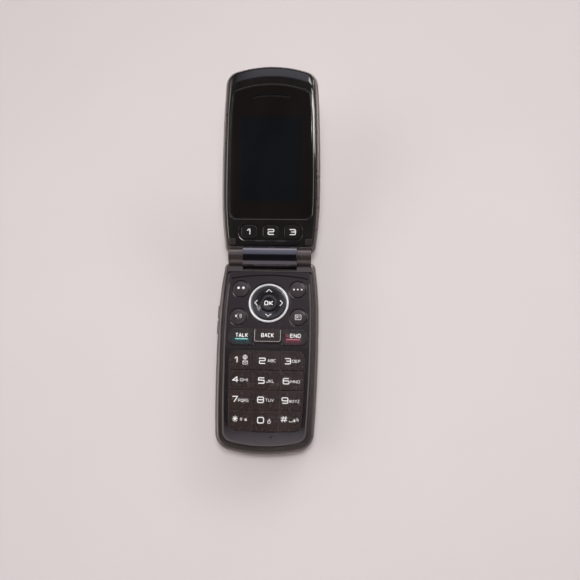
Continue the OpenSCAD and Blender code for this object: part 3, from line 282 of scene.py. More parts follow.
def metal(name, colour, rough, brushed=None, edge=0.06, metallic=1.0):
    """Bare or plated metal, streaked where it is brushed."""
    s = Shader(name, Metallic=metallic)
    streak = s.noise(500.0, 5.0, stretch=brushed)
    s.colour(s.blend(s.spread(streak, 0.0, 1.0), shade(colour, 0.84), shade(colour, 1.06)))
    s.rough(s.spread(streak, rough * 0.8, rough * 1.3))
    s.bump(streak, 0.003, 1.0, edge)
    return s


# --- finishes of the CAD nodes --------------------------------------------------------------------
# The dark mouldings share a grain and a sheen.
DARK = {"grain": 4200.0, "Specular_IOR_Level": SHEEN}

housing = plastic("housing_paint", (0.128, 0.109, 0.104), 0.22,
                  grain=5200.0, relief=0.0010, vary=0.12, edge=0.12, Metallic=0.75)
lid_shell = plastic("lid_shell_paint", (0.163, 0.158, 0.180), 0.12,
                    grain=5200.0, relief=0.0008, vary=0.08, edge=0.12, Metallic=1.0)
lid_band = plastic("lid_band_paint", (0.200, 0.178, 0.168), 0.30,
                   grain=6500.0, relief=0.0006, vary=0.1, Metallic=0.7)
face = plastic("face_plate", (0.0170, 0.0102, 0.0115), 0.24,
               relief=0.0010, vary=0.2, edge=0.06, polish=0.12, **DARK)
# Painted shade in the recessed well round the keys
face.paint_well_shade((0.0110, 0.0074, 0.0076))
# Painted shade on the rim's top beyond RIM_FROM_S, standing in for a dark reflection
face.paint_rim_shade_and_highlight(RIM_FROM_S, (0.0040, 0.0030, 0.0030))
# Painted highlight on the rim's foot beyond FOOT_FROM_S, standing in for a bright reflection
face.paint_rim_shade_and_highlight(FOOT_FROM_S, (0.056, 0.047, 0.054))
# The ridge is real relief, but its colour is paler than the plate's: a painted highlight along it
ridge_highlight_paint = plastic("plate_ridge", (0.080, 0.061, 0.057), 0.18, relief=0.0006, vary=0.2, **DARK)
key_black = plastic("key_plastic", (0.027, 0.0176, 0.0156), 0.26,
                    relief=0.0012, vary=0.22, edge=0.2, polish=0.14, **DARK)
round_black = plastic("round_key_plastic", (0.040, 0.030, 0.033), 0.22,
                      relief=0.0012, vary=0.2, polish=0.12, **DARK)
nav_black = gloss("nav_gloss", (0.0136, 0.0120, 0.0136), 0.10)
piano = gloss("piano_black", (0.0100, 0.0085, 0.0085), 0.06, sag=True)
quick_gloss = gloss("lid_key_gloss", (0.0130, 0.0118, 0.0118), 0.10)
ring = metal("ring_plating", (0.90, 0.90, 0.91), 0.34, metallic=0.35, edge=0.0)
rubber = plastic("rubber", (0.040, 0.036, 0.036), 0.72, grain=3000.0, relief=0.008, vary=0.22)
plug_rubber = plastic("plug_rubber", (0.027, 0.021, 0.021), 0.50, grain=3000.0, relief=0.006, vary=0.2)
silicone = plastic("silicone", (0.34, 0.35, 0.37), 0.55, grain=900.0, relief=0.01, vary=0.1)
steel = metal("steel", (0.56, 0.56, 0.58), 0.32, brushed=(1.0, 9.0, 1.0))
gold = metal("gold", (0.80, 0.58, 0.26), 0.28)
mesh_metal = metal("earpiece_mesh", (0.06, 0.06, 0.065), 0.5)
black_part = plastic("black_part", (0.018, 0.018, 0.019), 0.5, grain=2500.0)
amber = plastic("cable_film", (0.50, 0.26, 0.07), 0.35, grain=600.0, vary=0.2)


# The tint of a call key starts at the first pair of places s, ends at the second, and fades to its sides.
TINT_START_S, TINT_END_S = (39.7, 38.4), (42.2, 39.9)
TINT_ASIDE = (2.4, 4.6)


def call_tint(name, tint, x_mid):
    """Key plastic with a translucent tint that glows out below the printed line."""
    s = plastic(name, (0.0240, 0.0185, 0.0190), 0.28, relief=0.002, vary=0.2, polish=0.14, **DARK)
    mixed = s.present_colour()
    down = s.spread(s.axis(1), 0.0, 1.0, *((HINGE_Y - at) * MM for at in TINT_END_S))
    top = s.spread(s.axis(1), 1.0, 0.0, *((HINGE_Y - at) * MM for at in TINT_START_S))
    off = s.math("ABSOLUTE", s.math("SUBTRACT", s.axis(0), x_mid * MM), 0.0)
    across = s.spread(off, 1.0, 0.0, *(at * MM for at in TINT_ASIDE))
    s.colour(s.blend(s.math("MULTIPLY", s.math("MULTIPLY", down, top), across), mixed, tint))
    return s


talk_plastic = call_tint("talk_plastic", (0.012, 0.055, 0.057), -11.9)
end_plastic = call_tint("end_plastic", (0.105, 0.018, 0.031), 11.7)


LCD_SOFT = 0.3


def window_shader():
    """Dark window: the picture area behind it is a little bluer than its border."""
    s = Shader("display_glass", Coat_Weight=0.5, Coat_Roughness=0.02, Specular_IOR_Level=SHEEN)
    x_off = s.math("ABSOLUTE", s.axis(0), 0.0)
    along = s.axis(1)
    sides = s.spread(x_off, 1.0, 0.0, (LCD_HALF - LCD_SOFT) * MM, (LCD_HALF + LCD_SOFT) * MM)
    near, far = (lid_point(0, v, LID_FACE).y for v in LCD_S)
    soft = LCD_SOFT * MM
    ends = s.math("MULTIPLY", s.spread(along, 0.0, 1.0, near - soft, near + soft),
                  s.spread(along, 1.0, 0.0, far - soft, far + soft))
    smear = s.noise(80.0, 6.0, stretch=(1.0, 0.3, 1.0))
    border = s.blend(s.spread(smear, 0.0, 1.0), (0.0060, 0.0046, 0.0042), (0.0086, 0.0066, 0.0060))
    picture = s.blend(s.spread(smear, 0.0, 1.0), (0.0034, 0.0044, 0.0054), (0.0050, 0.0064, 0.0078))
    s.colour(s.blend(s.math("MULTIPLY", sides, ends), border, picture))
    s.rough(s.spread(smear, 0.03, 0.09, 0.45, 0.75))
    s.bump(s.noise(45.0, 2.0), 0.01, 0.3, sag=True)
    return s


window = window_shader()


def lcd_shader():
    """Dark liquid crystal panel with fine rows of cells."""
    s = Shader("lcd_surface", Roughness=0.2)
    rows = s.node("ShaderNodeTexWave", wave_type="BANDS", bands_direction="X")
    rows.inputs["Scale"].default_value = 900.0
    s.link(s.coord, rows.inputs["Vector"])
    s.colour(s.blend(rows.outputs["Fac"], (0.014, 0.016, 0.021), (0.022, 0.025, 0.032)))
    s.rough(s.spread(s.noise(400.0), 0.15, 0.3))
    return s


def board_shader():
    """Solder mask with copper tracks and pads under it."""
    s = Shader("circuit_board", Roughness=0.35)
    tracks = s.node("ShaderNodeTexBrick")
    tracks.inputs["Scale"].default_value = 260.0
    tracks.inputs["Mortar Size"].default_value = 0.035
    s.link(s.coord, tracks.inputs["Vector"])
    cells = s.node("ShaderNodeTexVoronoi", feature="F1")
    cells.inputs["Scale"].default_value = 420.0
    s.link(s.coord, cells.inputs["Vector"])
    pads = s.spread(cells.outputs["Distance"], 1.0, 0.0, 0.16, 0.2)
    green = s.blend(tracks.outputs["Fac"], (0.010, 0.085, 0.045), (0.030, 0.160, 0.080))
    s.colour(s.blend(pads, green, (0.62, 0.50, 0.26)))
    s.rough(s.spread(s.noise(700.0), 0.25, 0.45))
    s.bump(pads, 0.03, 0.6)
    return s


def battery_shader():
    """Shrink-wrapped cell: satin film with soft wrinkles."""
    s = Shader("battery_wrap", Metallic=0.25)
    wrinkle = s.noise(220.0, 4.0, stretch=(0.35, 1.0, 1.0))
    s.colour(s.blend(s.spread(wrinkle, 0.0, 1.0), (0.24, 0.25, 0.27), (0.34, 0.35, 0.37)))
    s.rough(s.spread(wrinkle, 0.34, 0.5))
    s.bump(wrinkle, 0.02, 0.7, 0.15)
    return s


lcd, board, wrap = lcd_shader(), board_shader(), battery_shader()

ROUND_KEYS = ["soft_key_left", "soft_key_right", "speaker_key", "contacts_key"]
QUICK_KEYS = ["quick_key_1", "quick_key_2", "quick_key_3"]
DIGIT_KEYS = [f"key_{i}" for i in range(1, 10)]

FINISH = {
    housing: ["rear_housing", "front_housing", "battery_cover"],
    lid_shell: ["lid_cover"],
    lid_band: ["lid_frame"],
    face: ["keypad_plate"],
    ring: ["nav_trim_ring"],
    nav_black: ["nav_key", "ok_key"],
    round_black: ROUND_KEYS,
    key_black: ["back_key", "key_star", "key_0", "key_hash", "volume_key"] + DIGIT_KEYS,
    talk_plastic: ["talk_key"],
    end_plastic: ["end_key"],
    piano: ["lid_bezel"],
    quick_gloss: QUICK_KEYS,
    window: ["display_window", "outer_window"],
    lcd: ["lcd_module", "outer_display"],
    rubber: ["port_flap"],
    plug_rubber: ["lid_screw_plugs"],
    silicone: ["keypad_mat"],
    steel: ["dome_switches", "shield_cans", "vibration_motor", "vibration_weight", "charging_port",
            "housing_screws", "hinge_cam", "hinge_bush", "hinge_cartridge"],
    gold: ["battery_contacts", "antenna"],
    mesh_metal: ["earpiece"],
    black_part: ["nav_rocker", "loudspeaker", "microphone", "headset_socket"],
    board: ["main_board", "lid_board"],
    wrap: ["battery"],
    amber: ["lid_cable"],
}


# Radius of the rounded edges in millimetres, for the pieces that show
EDGE = {"keypad_plate": 0.18, "front_housing": 0.12, "lid_bezel": 0.12, "display_window": 0.08,
        "lid_frame": 0.12, "nav_trim_ring": 0.06, "nav_key": 0.10, "ok_key": 0.08, "back_key": 0.10,
        "talk_key": 0.18, "end_key": 0.18, "volume_key": 0.15, "port_flap": 0.15,
        "battery_cover": 0.12, "lid_screw_plugs": 0.3}
EDGE.update({name: 0.18 for name in nodes if name.startswith("key_")})
EDGE.update({name: 0.10 for name in ROUND_KEYS})
EDGE.update({name: 0.35 for name in QUICK_KEYS})
# Angle in degrees over which two faces keep a sharp line between them
CREASE = {"keypad_plate": 20}
CREASE_ROUNDED, CREASE_PLAIN = 48, 32
WELD_GAP_M = 1e-6
# Degrees below which faces count as one flat face, and above which an edge between faces is rounded
FLAT_BELOW, ROUND_ABOVE = 0.3, 30
ROUND_SEGMENTS = 2
NORMAL_WEIGHT = 70


def smooth_shape(obj, edge, crease):
    """Joins the faces' corners again, rounds the edges, and shades smoothly across the curved faces."""
    me = obj.data
    for name in ("custom_normal", "sharp_edge", "sharp_face"):
        if name in me.attributes:
            me.attributes.remove(me.attributes[name])
    for p in me.polygons:
        p.use_smooth = True
    obj.modifiers.new("weld", "WELD").merge_threshold = WELD_GAP_M
    if edge:
        flat = obj.modifiers.new("flat", "DECIMATE")
        flat.decimate_type = "DISSOLVE"
        flat.angle_limit = math.radians(FLAT_BELOW)
        bevel = obj.modifiers.new("round", "BEVEL")
        bevel.width = edge * MM
        bevel.segments = ROUND_SEGMENTS
        bevel.limit_method = "ANGLE"
        bevel.angle_limit = math.radians(ROUND_ABOVE)
        bevel.miter_outer = "MITER_ARC"
    split = obj.modifiers.new("split", "EDGE_SPLIT")
    split.split_angle = math.radians(crease)
    split.use_edge_sharp = False
    if edge:
        obj.modifiers.new("weigh", "WEIGHTED_NORMAL").weight = NORMAL_WEIGHT


for shader, names in FINISH.items():
    for name in names:
        obj = nodes[name]
        obj.data.materials.clear()
        obj.data.materials.append(shader.mat)
        edge = EDGE.get(name, 0)
        smooth_shape(obj, edge, CREASE.get(name, CREASE_ROUNDED if edge else CREASE_PLAIN))
assert sum(len(v) for v in FINISH.values()) == len(nodes)


# --- printed legends ------------------------------------------------------------------------------
def ink(name, colour, rough=0.5):
    """Printed ink with fine specks."""
    s = Shader(name)
    speck = s.noise(5200.0, 3.0)
    s.colour(s.blend(s.spread(speck, 0.0, 1.0), shade(colour, 0.86), shade(colour, 1.04)))
    s.rough(s.spread(speck, rough * 0.9, rough * 1.1))
    return s.mat


white = ink("ink_white", (0.88, 0.88, 0.865))
pale = ink("ink_pale", (0.76, 0.75, 0.74))
teal = ink("ink_teal", (0.34, 0.76, 0.72))
red = ink("ink_red", (0.42, 0.10, 0.13))
rose = ink("ink_rose", (0.50, 0.19, 0.23))
# A painted highlight, laid like ink along the edge of BACK
back_rim_highlight = ink("painted_rim_highlight", (0.46, 0.43, 0.42), 0.2)

# Wide, square letters. Each is (width, strokes), and a stroke is (points, closed, corner radius), all as
# shares of the letter's box. R is the radius of a round corner, and S that of a sharp one.
R = 0.26
S = 0.02
BOX = [(0, 0), (1, 0), (1, 1), (0, 1)]
GLYPHS = {
    "0": (1.08, [(BOX, True, R)]),
    "1": (0.5, [([(0.0, 0.72), (0.5, 1.0), (0.9, 1.0), (0.9, 0.0)], False, S)]),
    "2": (1.08, [([(0, 0.8), (0, 1), (1, 1), (1, 0.52), (0, 0.52), (0, 0), (1, 0)], False, 0.2)]),
    "3": (1.08, [([(0, 1), (1, 1), (1, 0), (0, 0)], False, R), ([(0.25, 0.52), (1, 0.52)], False, S)]),
    "4": (1.08, [([(0.74, 0), (0.74, 1), (0, 0.34), (1, 0.34)], False, S)]),
    "5": (1.08, [([(1, 1), (0.03, 1), (0.03, 0.58), (0.4, 0.58)], False, S),
                 ([(0.03, 0.58), (1, 0.58), (1, 0), (0, 0)], False, 0.2)]),
    "6": (1.08, [([(0.94, 1), (0, 1), (0, 0), (1, 0), (1, 0.56), (0, 0.56)], False, 0.24)]),
    "7": (1.0, [([(0, 1), (1, 1), (0.34, 0)], False, S)]),
    "8": (1.08, [(BOX, True, R), ([(0, 0.52), (1, 0.52)], False, S)]),
    "9": (1.08, [([(1, 0.44), (0, 0.44), (0, 1), (1, 1), (1, 0), (0.06, 0)], False, 0.24)]),
    "*": (1.0, [([(0.5 - 0.5 * math.cos(a), 0.5 - 0.5 * math.sin(a)),
                  (0.5 + 0.5 * math.cos(a), 0.5 + 0.5 * math.sin(a))], False, S)
                for a in (0, math.pi / 4, math.pi / 2, 3 * math.pi / 4)]),
    "#": (1.15, [([(0.2, 0), (0.42, 1)], False, S), ([(0.62, 0), (0.84, 1)], False, S),
                 ([(0, 0.32), (1, 0.32)], False, S), ([(0, 0.7), (1, 0.7)], False, S)]),
    "A": (1.05, [([(0, 0), (0.5, 1), (1, 0)], False, S), ([(0.2, 0.3), (0.8, 0.3)], False, S)]),
    "B": (1.0, [([(0, 0), (0, 1), (1, 1), (1, 0)], True, 0.16), ([(0, 0.52), (1, 0.52)], False, S)]),
    "C": (1.0, [([(1, 1), (0, 1), (0, 0), (1, 0)], False, R)]),
    "D": (1.0, [([(0, 0), (0, 1), (1, 1), (1, 0)], True, 0.3)]),
    "E": (0.92, [([(1, 1), (0, 1), (0, 0), (1, 0)], False, S), ([(0, 0.52), (0.94, 0.52)], False, S)]),
    "F": (0.9, [([(1, 1), (0, 1), (0, 0)], False, S), ([(0, 0.5), (0.9, 0.5)], False, S)]),
    "G": (1.02, [([(1, 1), (0, 1), (0, 0), (1, 0), (1, 0.48), (0.5, 0.48)], False, R)]),
    "H": (1.0, [([(0, 0), (0, 1)], False, S), ([(1, 0), (1, 1)], False, S),
                ([(0, 0.5), (1, 0.5)], False, S)]),
    "I": (0.2, [([(0.5, 0), (0.5, 1)], False, S)]),
    "J": (0.85, [([(1, 1), (1, 0), (0, 0), (0, 0.3)], False, R)]),
    "K": (1.0, [([(0, 0), (0, 1)], False, S), ([(1, 1), (0.16, 0.5), (1, 0)], False, S)]),
    "L": (0.85, [([(0, 1), (0, 0), (1, 0)], False, S)]),
    "M": (1.2, [([(0, 0), (0, 1), (0.5, 0.3), (1, 1), (1, 0)], False, S)]),
    "N": (1.02, [([(0, 0), (0, 1), (1, 0), (1, 1)], False, S)]),
    "O": (1.06, [(BOX, True, R)]),
    "P": (0.98, [([(0, 0), (0, 1), (1, 1), (1, 0.44), (0, 0.44)], False, 0.2)]),
    "Q": (1.06, [(BOX, True, R), ([(0.62, 0.3), (1.06, -0.1)], False, S)]),
    "R": (1.0, [([(0, 0), (0, 1), (1, 1), (1, 0.46), (0, 0.46)], False, 0.2),
                ([(0.55, 0.46), (1, 0)], False, S)]),
    "S": (1.0, [([(1, 1), (0, 1), (0, 0.52), (1, 0.52), (1, 0), (0, 0)], False, 0.2)]),
    "T": (1.0, [([(0, 1), (1, 1)], False, S), ([(0.5, 1), (0.5, 0)], False, S)]),
    "U": (1.02, [([(0, 1), (0, 0), (1, 0), (1, 1)], False, R)]),
    "V": (1.05, [([(0, 1), (0.5, 0), (1, 1)], False, S)]),
    "W": (1.4, [([(0, 1), (0.25, 0), (0.5, 0.85), (0.75, 0), (1, 1)], False, S)]),
    "X": (1.02, [([(0, 0), (1, 1)], False, S), ([(0, 1), (1, 0)], False, S)]),
    "Y": (1.02, [([(0, 1), (0.5, 0.48), (1, 1)], False, S), ([(0.5, 0.48), (0.5, 0)], False, S)]),
    "Z": (1.0, [([(0, 1), (1, 1), (0, 0), (1, 0)], False, S)]),
}


def ring_points(cx, cy, r, a0=0.0, a1=360.0, n=20):
    """Points on an arc from a0 to a1 degrees, both ends included."""
    return [(cx + r * math.cos(math.radians(a0 + (a1 - a0) * i / n)),
             cy + r * math.sin(math.radians(a0 + (a1 - a0) * i / n))) for i in range(n + 1)]


# A corner's arc takes at most this share of each side, and has this many parts.
CORNER_SHARE, CORNER_PARTS = 0.48, 5
# Corners with a shorter reach, or as straight as this cosine, stay as they are.
CORNER_LEAST, STRAIGHT = 0.02, -0.999
# A stroke's edge stands out at a corner as if this were its least cosine.
MITRE_LEAST = 0.45
STROKE_STEP = 0.4


def rounded(points, closed, radius):
    """The path with its corners turned into arcs, as 2-D vectors."""
    pts = [Vector(p) for p in points]
    out = []
    for i, p in enumerate(pts):
        if not closed and i in (0, len(pts) - 1):
            out.append(p)
            continue
        a, b = pts[i - 1], pts[(i + 1) % len(pts)]
        u, v = a - p, b - p
        reach = min(radius, u.length * CORNER_SHARE, v.length * CORNER_SHARE)
        if reach < CORNER_LEAST or u.normalized().dot(v.normalized()) < STRAIGHT:
            out.append(p)
            continue
        start, end = p + u.normalized() * reach, p + v.normalized() * reach
        for k in range(CORNER_PARTS + 1):
            t = k / CORNER_PARTS
            out.append(start * (1 - t) ** 2 + p * (2 * t * (1 - t)) + end * t * t)
    return out


def resampled(points, closed, step):
    """The same path with more points, so that no part is longer than step."""
    out = []
    count = len(points) if closed else len(points) - 1
    for i in range(count):
        a, b = points[i], points[(i + 1) % len(points)]
        parts = max(1, math.ceil((b - a).length / step))
        out += [a.lerp(b, k / parts) for k in range(parts)]
    if not closed:
        out.append(points[-1])
    return out


def ribbon(points, closed, width):
    """Left and right edge of a stroke along the path."""
    pairs = []
    n = len(points)
    for i, p in enumerate(points):
        a = points[i - 1] if closed or i else None
        b = points[(i + 1) % n] if closed or i < n - 1 else None
        d0 = (p - a).normalized() if a is not None else None
        d1 = (b - p).normalized() if b is not None else None
        d0, d1 = d0 or d1, d1 or d0
        mid = d0 + d1
        mid = mid.normalized() if mid.length > 1e-6 else d1
        side = Vector((-mid.y, mid.x))
        reach = min(width / 2 / max(MITRE_LEAST, side.dot(Vector((-d1.y, d1.x)))), width)
        pairs.append((p + side * reach, p - side * reach))
    return pairs


def new_piece(name, bm, material):
    """The mesh as an object of the scene, with one material."""
    mesh = bpy.data.meshes.new(name)
    bm.to_mesh(mesh)
    bm.free()
    mesh.materials.append(material)
    obj = bpy.data.objects.new(name, mesh)
    bpy.context.scene.collection.objects.link(obj)
    return obj


# Height of the ink over a dull key and over a glossy one, and what each further stroke adds to it
LIFT, GLOSS_LIFT, LAYER_LIFT = 0.012, 0.02, 0.0015
# How far above the keys the search for their surface starts
SEARCH = 8
LETTER_GAP = 0.22


class Print:
    """Ink laid on the surface of one CAD node, from strokes and filled shapes in millimetres."""

    def __init__(self, name, node, on_lid=False, lift=LIFT):
        self.name, self.node, self.on_lid, self.lift = name, nodes[node], on_lid, lift
        self.bm = bmesh.new()
        self.layers = 0
        mesh = self.node.data
        self.tree = BVHTree.FromPolygons([v.co.copy() for v in mesh.vertices],
                                         [tuple(p.vertices) for p in mesh.polygons])
        self.normal = LID_N if on_lid else Vector((0, 0, 1))

    def surface(self, x, s, lift):
        """The place on the node's surface under (x, s), raised by lift."""
        start = lid_point(x, s, SEARCH) if self.on_lid else base_point(x, s, KEY_TOP + SEARCH)
        hit, _, _, _ = self.tree.ray_cast(start, -self.normal)
        if hit is None:
            raise RuntimeError(f"{self.name}: no surface under {x:.2f}, {s:.2f}")
        return hit + self.normal * lift * MM

    def place(self, centre, point):
        """A point (right, up) from centre (x, s). Up is towards the hinge on the base, away on the lid."""
        x, s = centre[0] + point[0], centre[1] + (point[1] if self.on_lid else -point[1])
        return self.surface(x, s, self.lift + LAYER_LIFT * self.layers)

    def stroke(self, centre, points, closed, radius, width):
        """A line of the given width along the points, with its corners rounded by radius."""
        path = resampled(rounded(points, closed, radius), closed, STROKE_STEP)
        pairs = ribbon(path, closed, width)
        rows = [tuple(self.bm.verts.new(self.place(centre, q)) for q in pair) for pair in pairs]
        count = len(rows) if closed else len(rows) - 1
        for i in range(count):
            a, b = rows[i], rows[(i + 1) % len(rows)]
            self.bm.faces.new((a[0], a[1], b[1], b[0]))
        self.layers += 1

    def fill(self, centre, points):
        """A filled shape inside the points."""
        self.bm.faces.new([self.bm.verts.new(self.place(centre, p)) for p in points])
        self.layers += 1

    def text(self, centre, text, width, height, weight, gap=LETTER_GAP):
        """Text centred on centre. The width is the whole text's, and the weight the stroke's."""
        shares = [GLYPHS[c][0] for c in text]
        unit = (width - weight * len(text) - gap * (len(text) - 1)) / sum(shares)
        x = -width / 2
        for c, share in zip(text, shares):
            w, h = share * unit, height - weight
            for points, closed, radius in GLYPHS[c][1]:
                moved = [(x + weight / 2 + px * w, py * h - h / 2) for px, py in points]
                self.stroke(centre, moved, closed, radius * h, weight)
            x += w + weight + gap

    def done(self, material, body):
        """Turns the strokes and shapes into one piece that rides on a body."""
        bmesh.ops.recalc_face_normals(self.bm, faces=self.bm.faces)
        for f in self.bm.faces:
            if f.normal.dot(self.normal) < 0:
                f.normal_flip()
        obj = new_piece(self.name, self.bm, material)
        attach(obj, body)


# A face is level where its normal's z is above the first value, and at a height within the second.
LEVEL_NORMAL, LEVEL_REACH = 0.99, 0.03


def outer_loop(obj, z):
    """The long edge loop round the level faces at height z, as points (x, s) in millimetres."""
    me = obj.data
    used = set()
    for p in me.polygons:
        if p.normal.z > LEVEL_NORMAL and abs(p.center.z / MM - z) < LEVEL_REACH:
            corners = [tuple(round(c / MM, 3) for c in me.vertices[i].co[:2]) for i in p.vertices]
            used.update(zip(corners, corners[1:] + corners[:1]))
    ahead = {a: b for a, b in used if (b, a) not in used}
    loops = []
    while ahead:
        first, b = ahead.popitem()
        loop = [first]
        while b in ahead:
            loop.append(b)
            b = ahead.pop(b)
        loops.append(loop)
    loop = max(loops, key=lambda points: max(y for _, y in points) - min(y for _, y in points))
    return [Vector((x, HINGE_Y - y)) for x, y in loop]


RIDGE_FROM_S = 12.0
# The ridge's middle lies this far inside the outline of the plate's top.
RIDGE_INSET = 0.4
RIDGE_HALF_WIDTH, RIDGE_HEIGHT, RIDGE_FOOT_Z, RIDGE_ROWS = 0.36, 0.2, 11.75, 8
RIDGE_STEP = 0.6
# It rises from RIDGE_LOW of its height over the first points of each end, and shorter runs get none.
RIDGE_LOW, RIDGE_END_POINTS, RIDGE_LEAST_POINTS = 0.1, 6, 12


def ridge(name):
    """Low rounded ridge on the keypad plate, along the part of its outline that lies beyond RIDGE_FROM_S."""
    loop = resampled(outer_loop(nodes["keypad_plate"], PLATE_TOP_Z), True, RIDGE_STEP)
    inside = [p.y > RIDGE_FROM_S for p in loop]
    start = next(i for i in range(len(loop)) if inside[i] and not inside[i - 1])
    runs, open_run = [], False
    for p, keep in zip(loop[start:] + loop[:start], inside[start:] + inside[:start]):
        if keep and not open_run:
            runs.append([])
        if keep:
            runs[-1].append(p)
        open_run = keep
    middle = Vector((0, sum(p.y for p in loop) / len(loop)))
    bm = bmesh.new()
    for path in (run for run in runs if len(run) > RIDGE_LEAST_POINTS):
        previous = None
        for i, p in enumerate(path):
            d = (path[min(i + 2, len(path) - 1)] - path[max(i - 2, 0)]).normalized()
            inward = Vector((d.y, -d.x))
            if inward.dot(middle - p) < 0:
                inward.negate()
            height = RIDGE_HEIGHT * min(1.0, RIDGE_LOW + min(i, len(path) - 1 - i) / RIDGE_END_POINTS)
            row = []
            for k in range(RIDGE_ROWS + 1):
                a = math.pi * k / RIDGE_ROWS
                q = p + inward * (RIDGE_INSET - RIDGE_HALF_WIDTH * math.cos(a))
                row.append(bm.verts.new(base_point(q.x, q.y, RIDGE_FOOT_Z + height * math.sin(a))))
            if previous:
                for k in range(RIDGE_ROWS):
                    bm.faces.new((previous[k], previous[k + 1], row[k + 1], row[k]))
            previous = row
    for f in bm.faces:
        f.normal_update()
        if f.normal.z < 0:
            f.normal_flip()
        f.smooth = True
    obj = new_piece(name, bm, ridge_highlight_paint.mat)
    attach(obj, "base")


ridge("plate_ridge")

DIGIT_W, DIGIT_H, DIGIT_LINE = 3.05, 2.85, 0.44
# The digits and signs with a width or a line weight of their own
OWN_W = {"1": 1.65, "7": 2.7, "*": 2.75, "#": 3.1}
OWN_LINE = {"*": 0.28, "#": 0.36}
LETTER_H, LETTER_LINE = 1.36, 0.21
SMALL_GAP = 0.2
# node: (digit, its centre, letters, their centre, their width)
NUMBER_KEYS = {
    "key_1": ("1", (-13.9, 49.3), "", None, 0),
    "key_2": ("2", (-1.95, 49.6), "ABC", (2.3, 49.5), 3.9),
    "key_3": ("3", (9.55, 49.6), "DEF", (13.45, 49.6), 3.8),
    "key_4": ("4", (-13.7, 58.2), "GHI", (-9.85, 58.3), 3.6),
    "key_5": ("5", (-2.1, 58.5), "JKL", (1.9, 58.7), 3.5),
    "key_6": ("6", (9.05, 58.6), "MNO", (13.1, 58.8), 4.2),
    "key_7": ("7", (-13.5, 66.9), "PQRS", (-9.75, 67.4), 4.6),
    "key_8": ("8", (-2.1, 67.0), "TUV", (1.9, 67.1), 3.8),
    "key_9": ("9", (8.7, 67.1), "WXYZ", (12.85, 67.4), 4.6),
    "key_star": ("*", (-13.0, 75.4), "", None, 0),
    "key_0": ("0", (-1.75, 75.8), "", None, 0),
    "key_hash": ("#", (8.45, 75.2), "", None, 0),
}

for name, (digit, at, letters, letters_at, letters_w) in NUMBER_KEYS.items():
    p = Print(f"{name}_digit", name)
    p.text(at, digit, OWN_W.get(digit, DIGIT_W), DIGIT_H, OWN_LINE.get(digit, DIGIT_LINE))
    p.done(white, name)
    if letters:
        p = Print(f"{name}_letters", name)
        p.text(letters_at, letters, letters_w, LETTER_H, LETTER_LINE, SMALL_GAP)
        p.done(pale, name)

# Line weights of the drawn signs
HAIR, FINE, MEDIUM, BOLD, HEAVY = 0.16, 0.2, 0.22, 0.24, 0.26

# Small signs of the number keys: a globe over an envelope, a diamond and a lock, a turning arrow, and a
# space bar with a plain block that sends out two arcs
globe, envelope = (-9.8, 48.1), (-9.7, 50.5)
p = Print("key_1_marks", "key_1")
p.stroke(globe, ring_points(0, 0, 0.95)[:-1], True, 0, HEAVY)
p.stroke(globe, [(0, -0.9), (0, 0.9)], False, 0, FINE)
p.stroke(globe, [(-0.9, 0), (0.9, 0)], False, 0, FINE)
p.stroke(globe, ring_points(0.9, 0, 1.3, 135, 225), False, 0, HAIR)
p.stroke(globe, ring_points(-0.9, 0, 1.3, -45, 45), False, 0, HAIR)
p.stroke(envelope, [(-1.05, -0.72), (1.05, -0.72), (1.05, 0.72), (-1.05, 0.72)], True, 0.2, HEAVY)
p.stroke(envelope, [(-0.9, 0.55), (0, -0.1), (0.9, 0.55)], False, S, BOLD)
p.done(pale, "key_1")

diamond, lock = (-10.35, 75.5), (-8.3, 75.6)
p = Print("key_star_marks", "key_star")
p.stroke(diamond, [(0, 0.6), (0.45, 0), (0, -0.6), (-0.45, 0)], True, 0.05, BOLD)
p.fill(lock, [(-0.5, -0.6), (0.5, -0.6), (0.5, 0.05), (-0.5, 0.05)])
p.stroke(lock, ring_points(0, 0.05, 0.34, 180, 0, 8), False, 0, FINE)
p.done(pale, "key_star")

arrow = (1.95, 76.4)
p = Print("key_0_marks", "key_0")
p.stroke(arrow, ring_points(0, -0.1, 0.62)[:-1], True, 0, 0.28)
p.stroke(arrow, [(0, 0.5), (0, 1.0), (0.45, 1.0)], False, S, BOLD)
p.done(pale, "key_0")

space_bar, block = (11.5, 76.1), (13.6, 75.4)
p = Print("key_hash_marks", "key_hash")
p.stroke(space_bar, [(-0.65, 0.3), (-0.65, -0.2), (0.65, -0.2), (0.65, 0.3)], False, S, HEAVY)
p.fill(block, [(-0.95, -0.85), (-0.15, -0.85), (-0.15, 0.15), (-0.95, 0.15)])
p.stroke(block, ring_points(-0.1, -0.3, 0.75, -20, 70, 8), False, 0, BOLD)
p.stroke(block, ring_points(-0.1, -0.3, 1.25, -15, 65, 8), False, 0, BOLD)
p.done(pale, "key_hash")

# Call keys: words, the coloured lines under two of them, a painted highlight along the edge of BACK, and the
# power sign of END
WORD_H, UNDERLINE = 1.95, 0.42
RIM_TOP, RIM_FOOT, RIM_HALF, RIM_CORNER = -35.3, -40.7, 5.9, 0.9
for name, word, at, w, line in (("talk_key", "TALK", (-11.85, 37.9), 5.8, 0.34),
                                ("back_key", "BACK", (0.0, 37.8), 5.9, 0.35),
                                ("end_key", "END", (12.75, 37.9), 4.9, 0.36)):
    p = Print(f"{name}_word", name)
    p.text(at, word, w, WORD_H, line, SMALL_GAP)
    p.done(white, name)
for name, centre, half, material in (("talk_key", (-11.9, 39.65), 2.95, teal),
                                     ("end_key", (11.65, 39.7), 3.1, rose)):
    p = Print(f"{name}_line", name)
    p.stroke(centre, [(-half, 0), (half, 0)], False, 0, UNDERLINE)
    p.done(material, name)
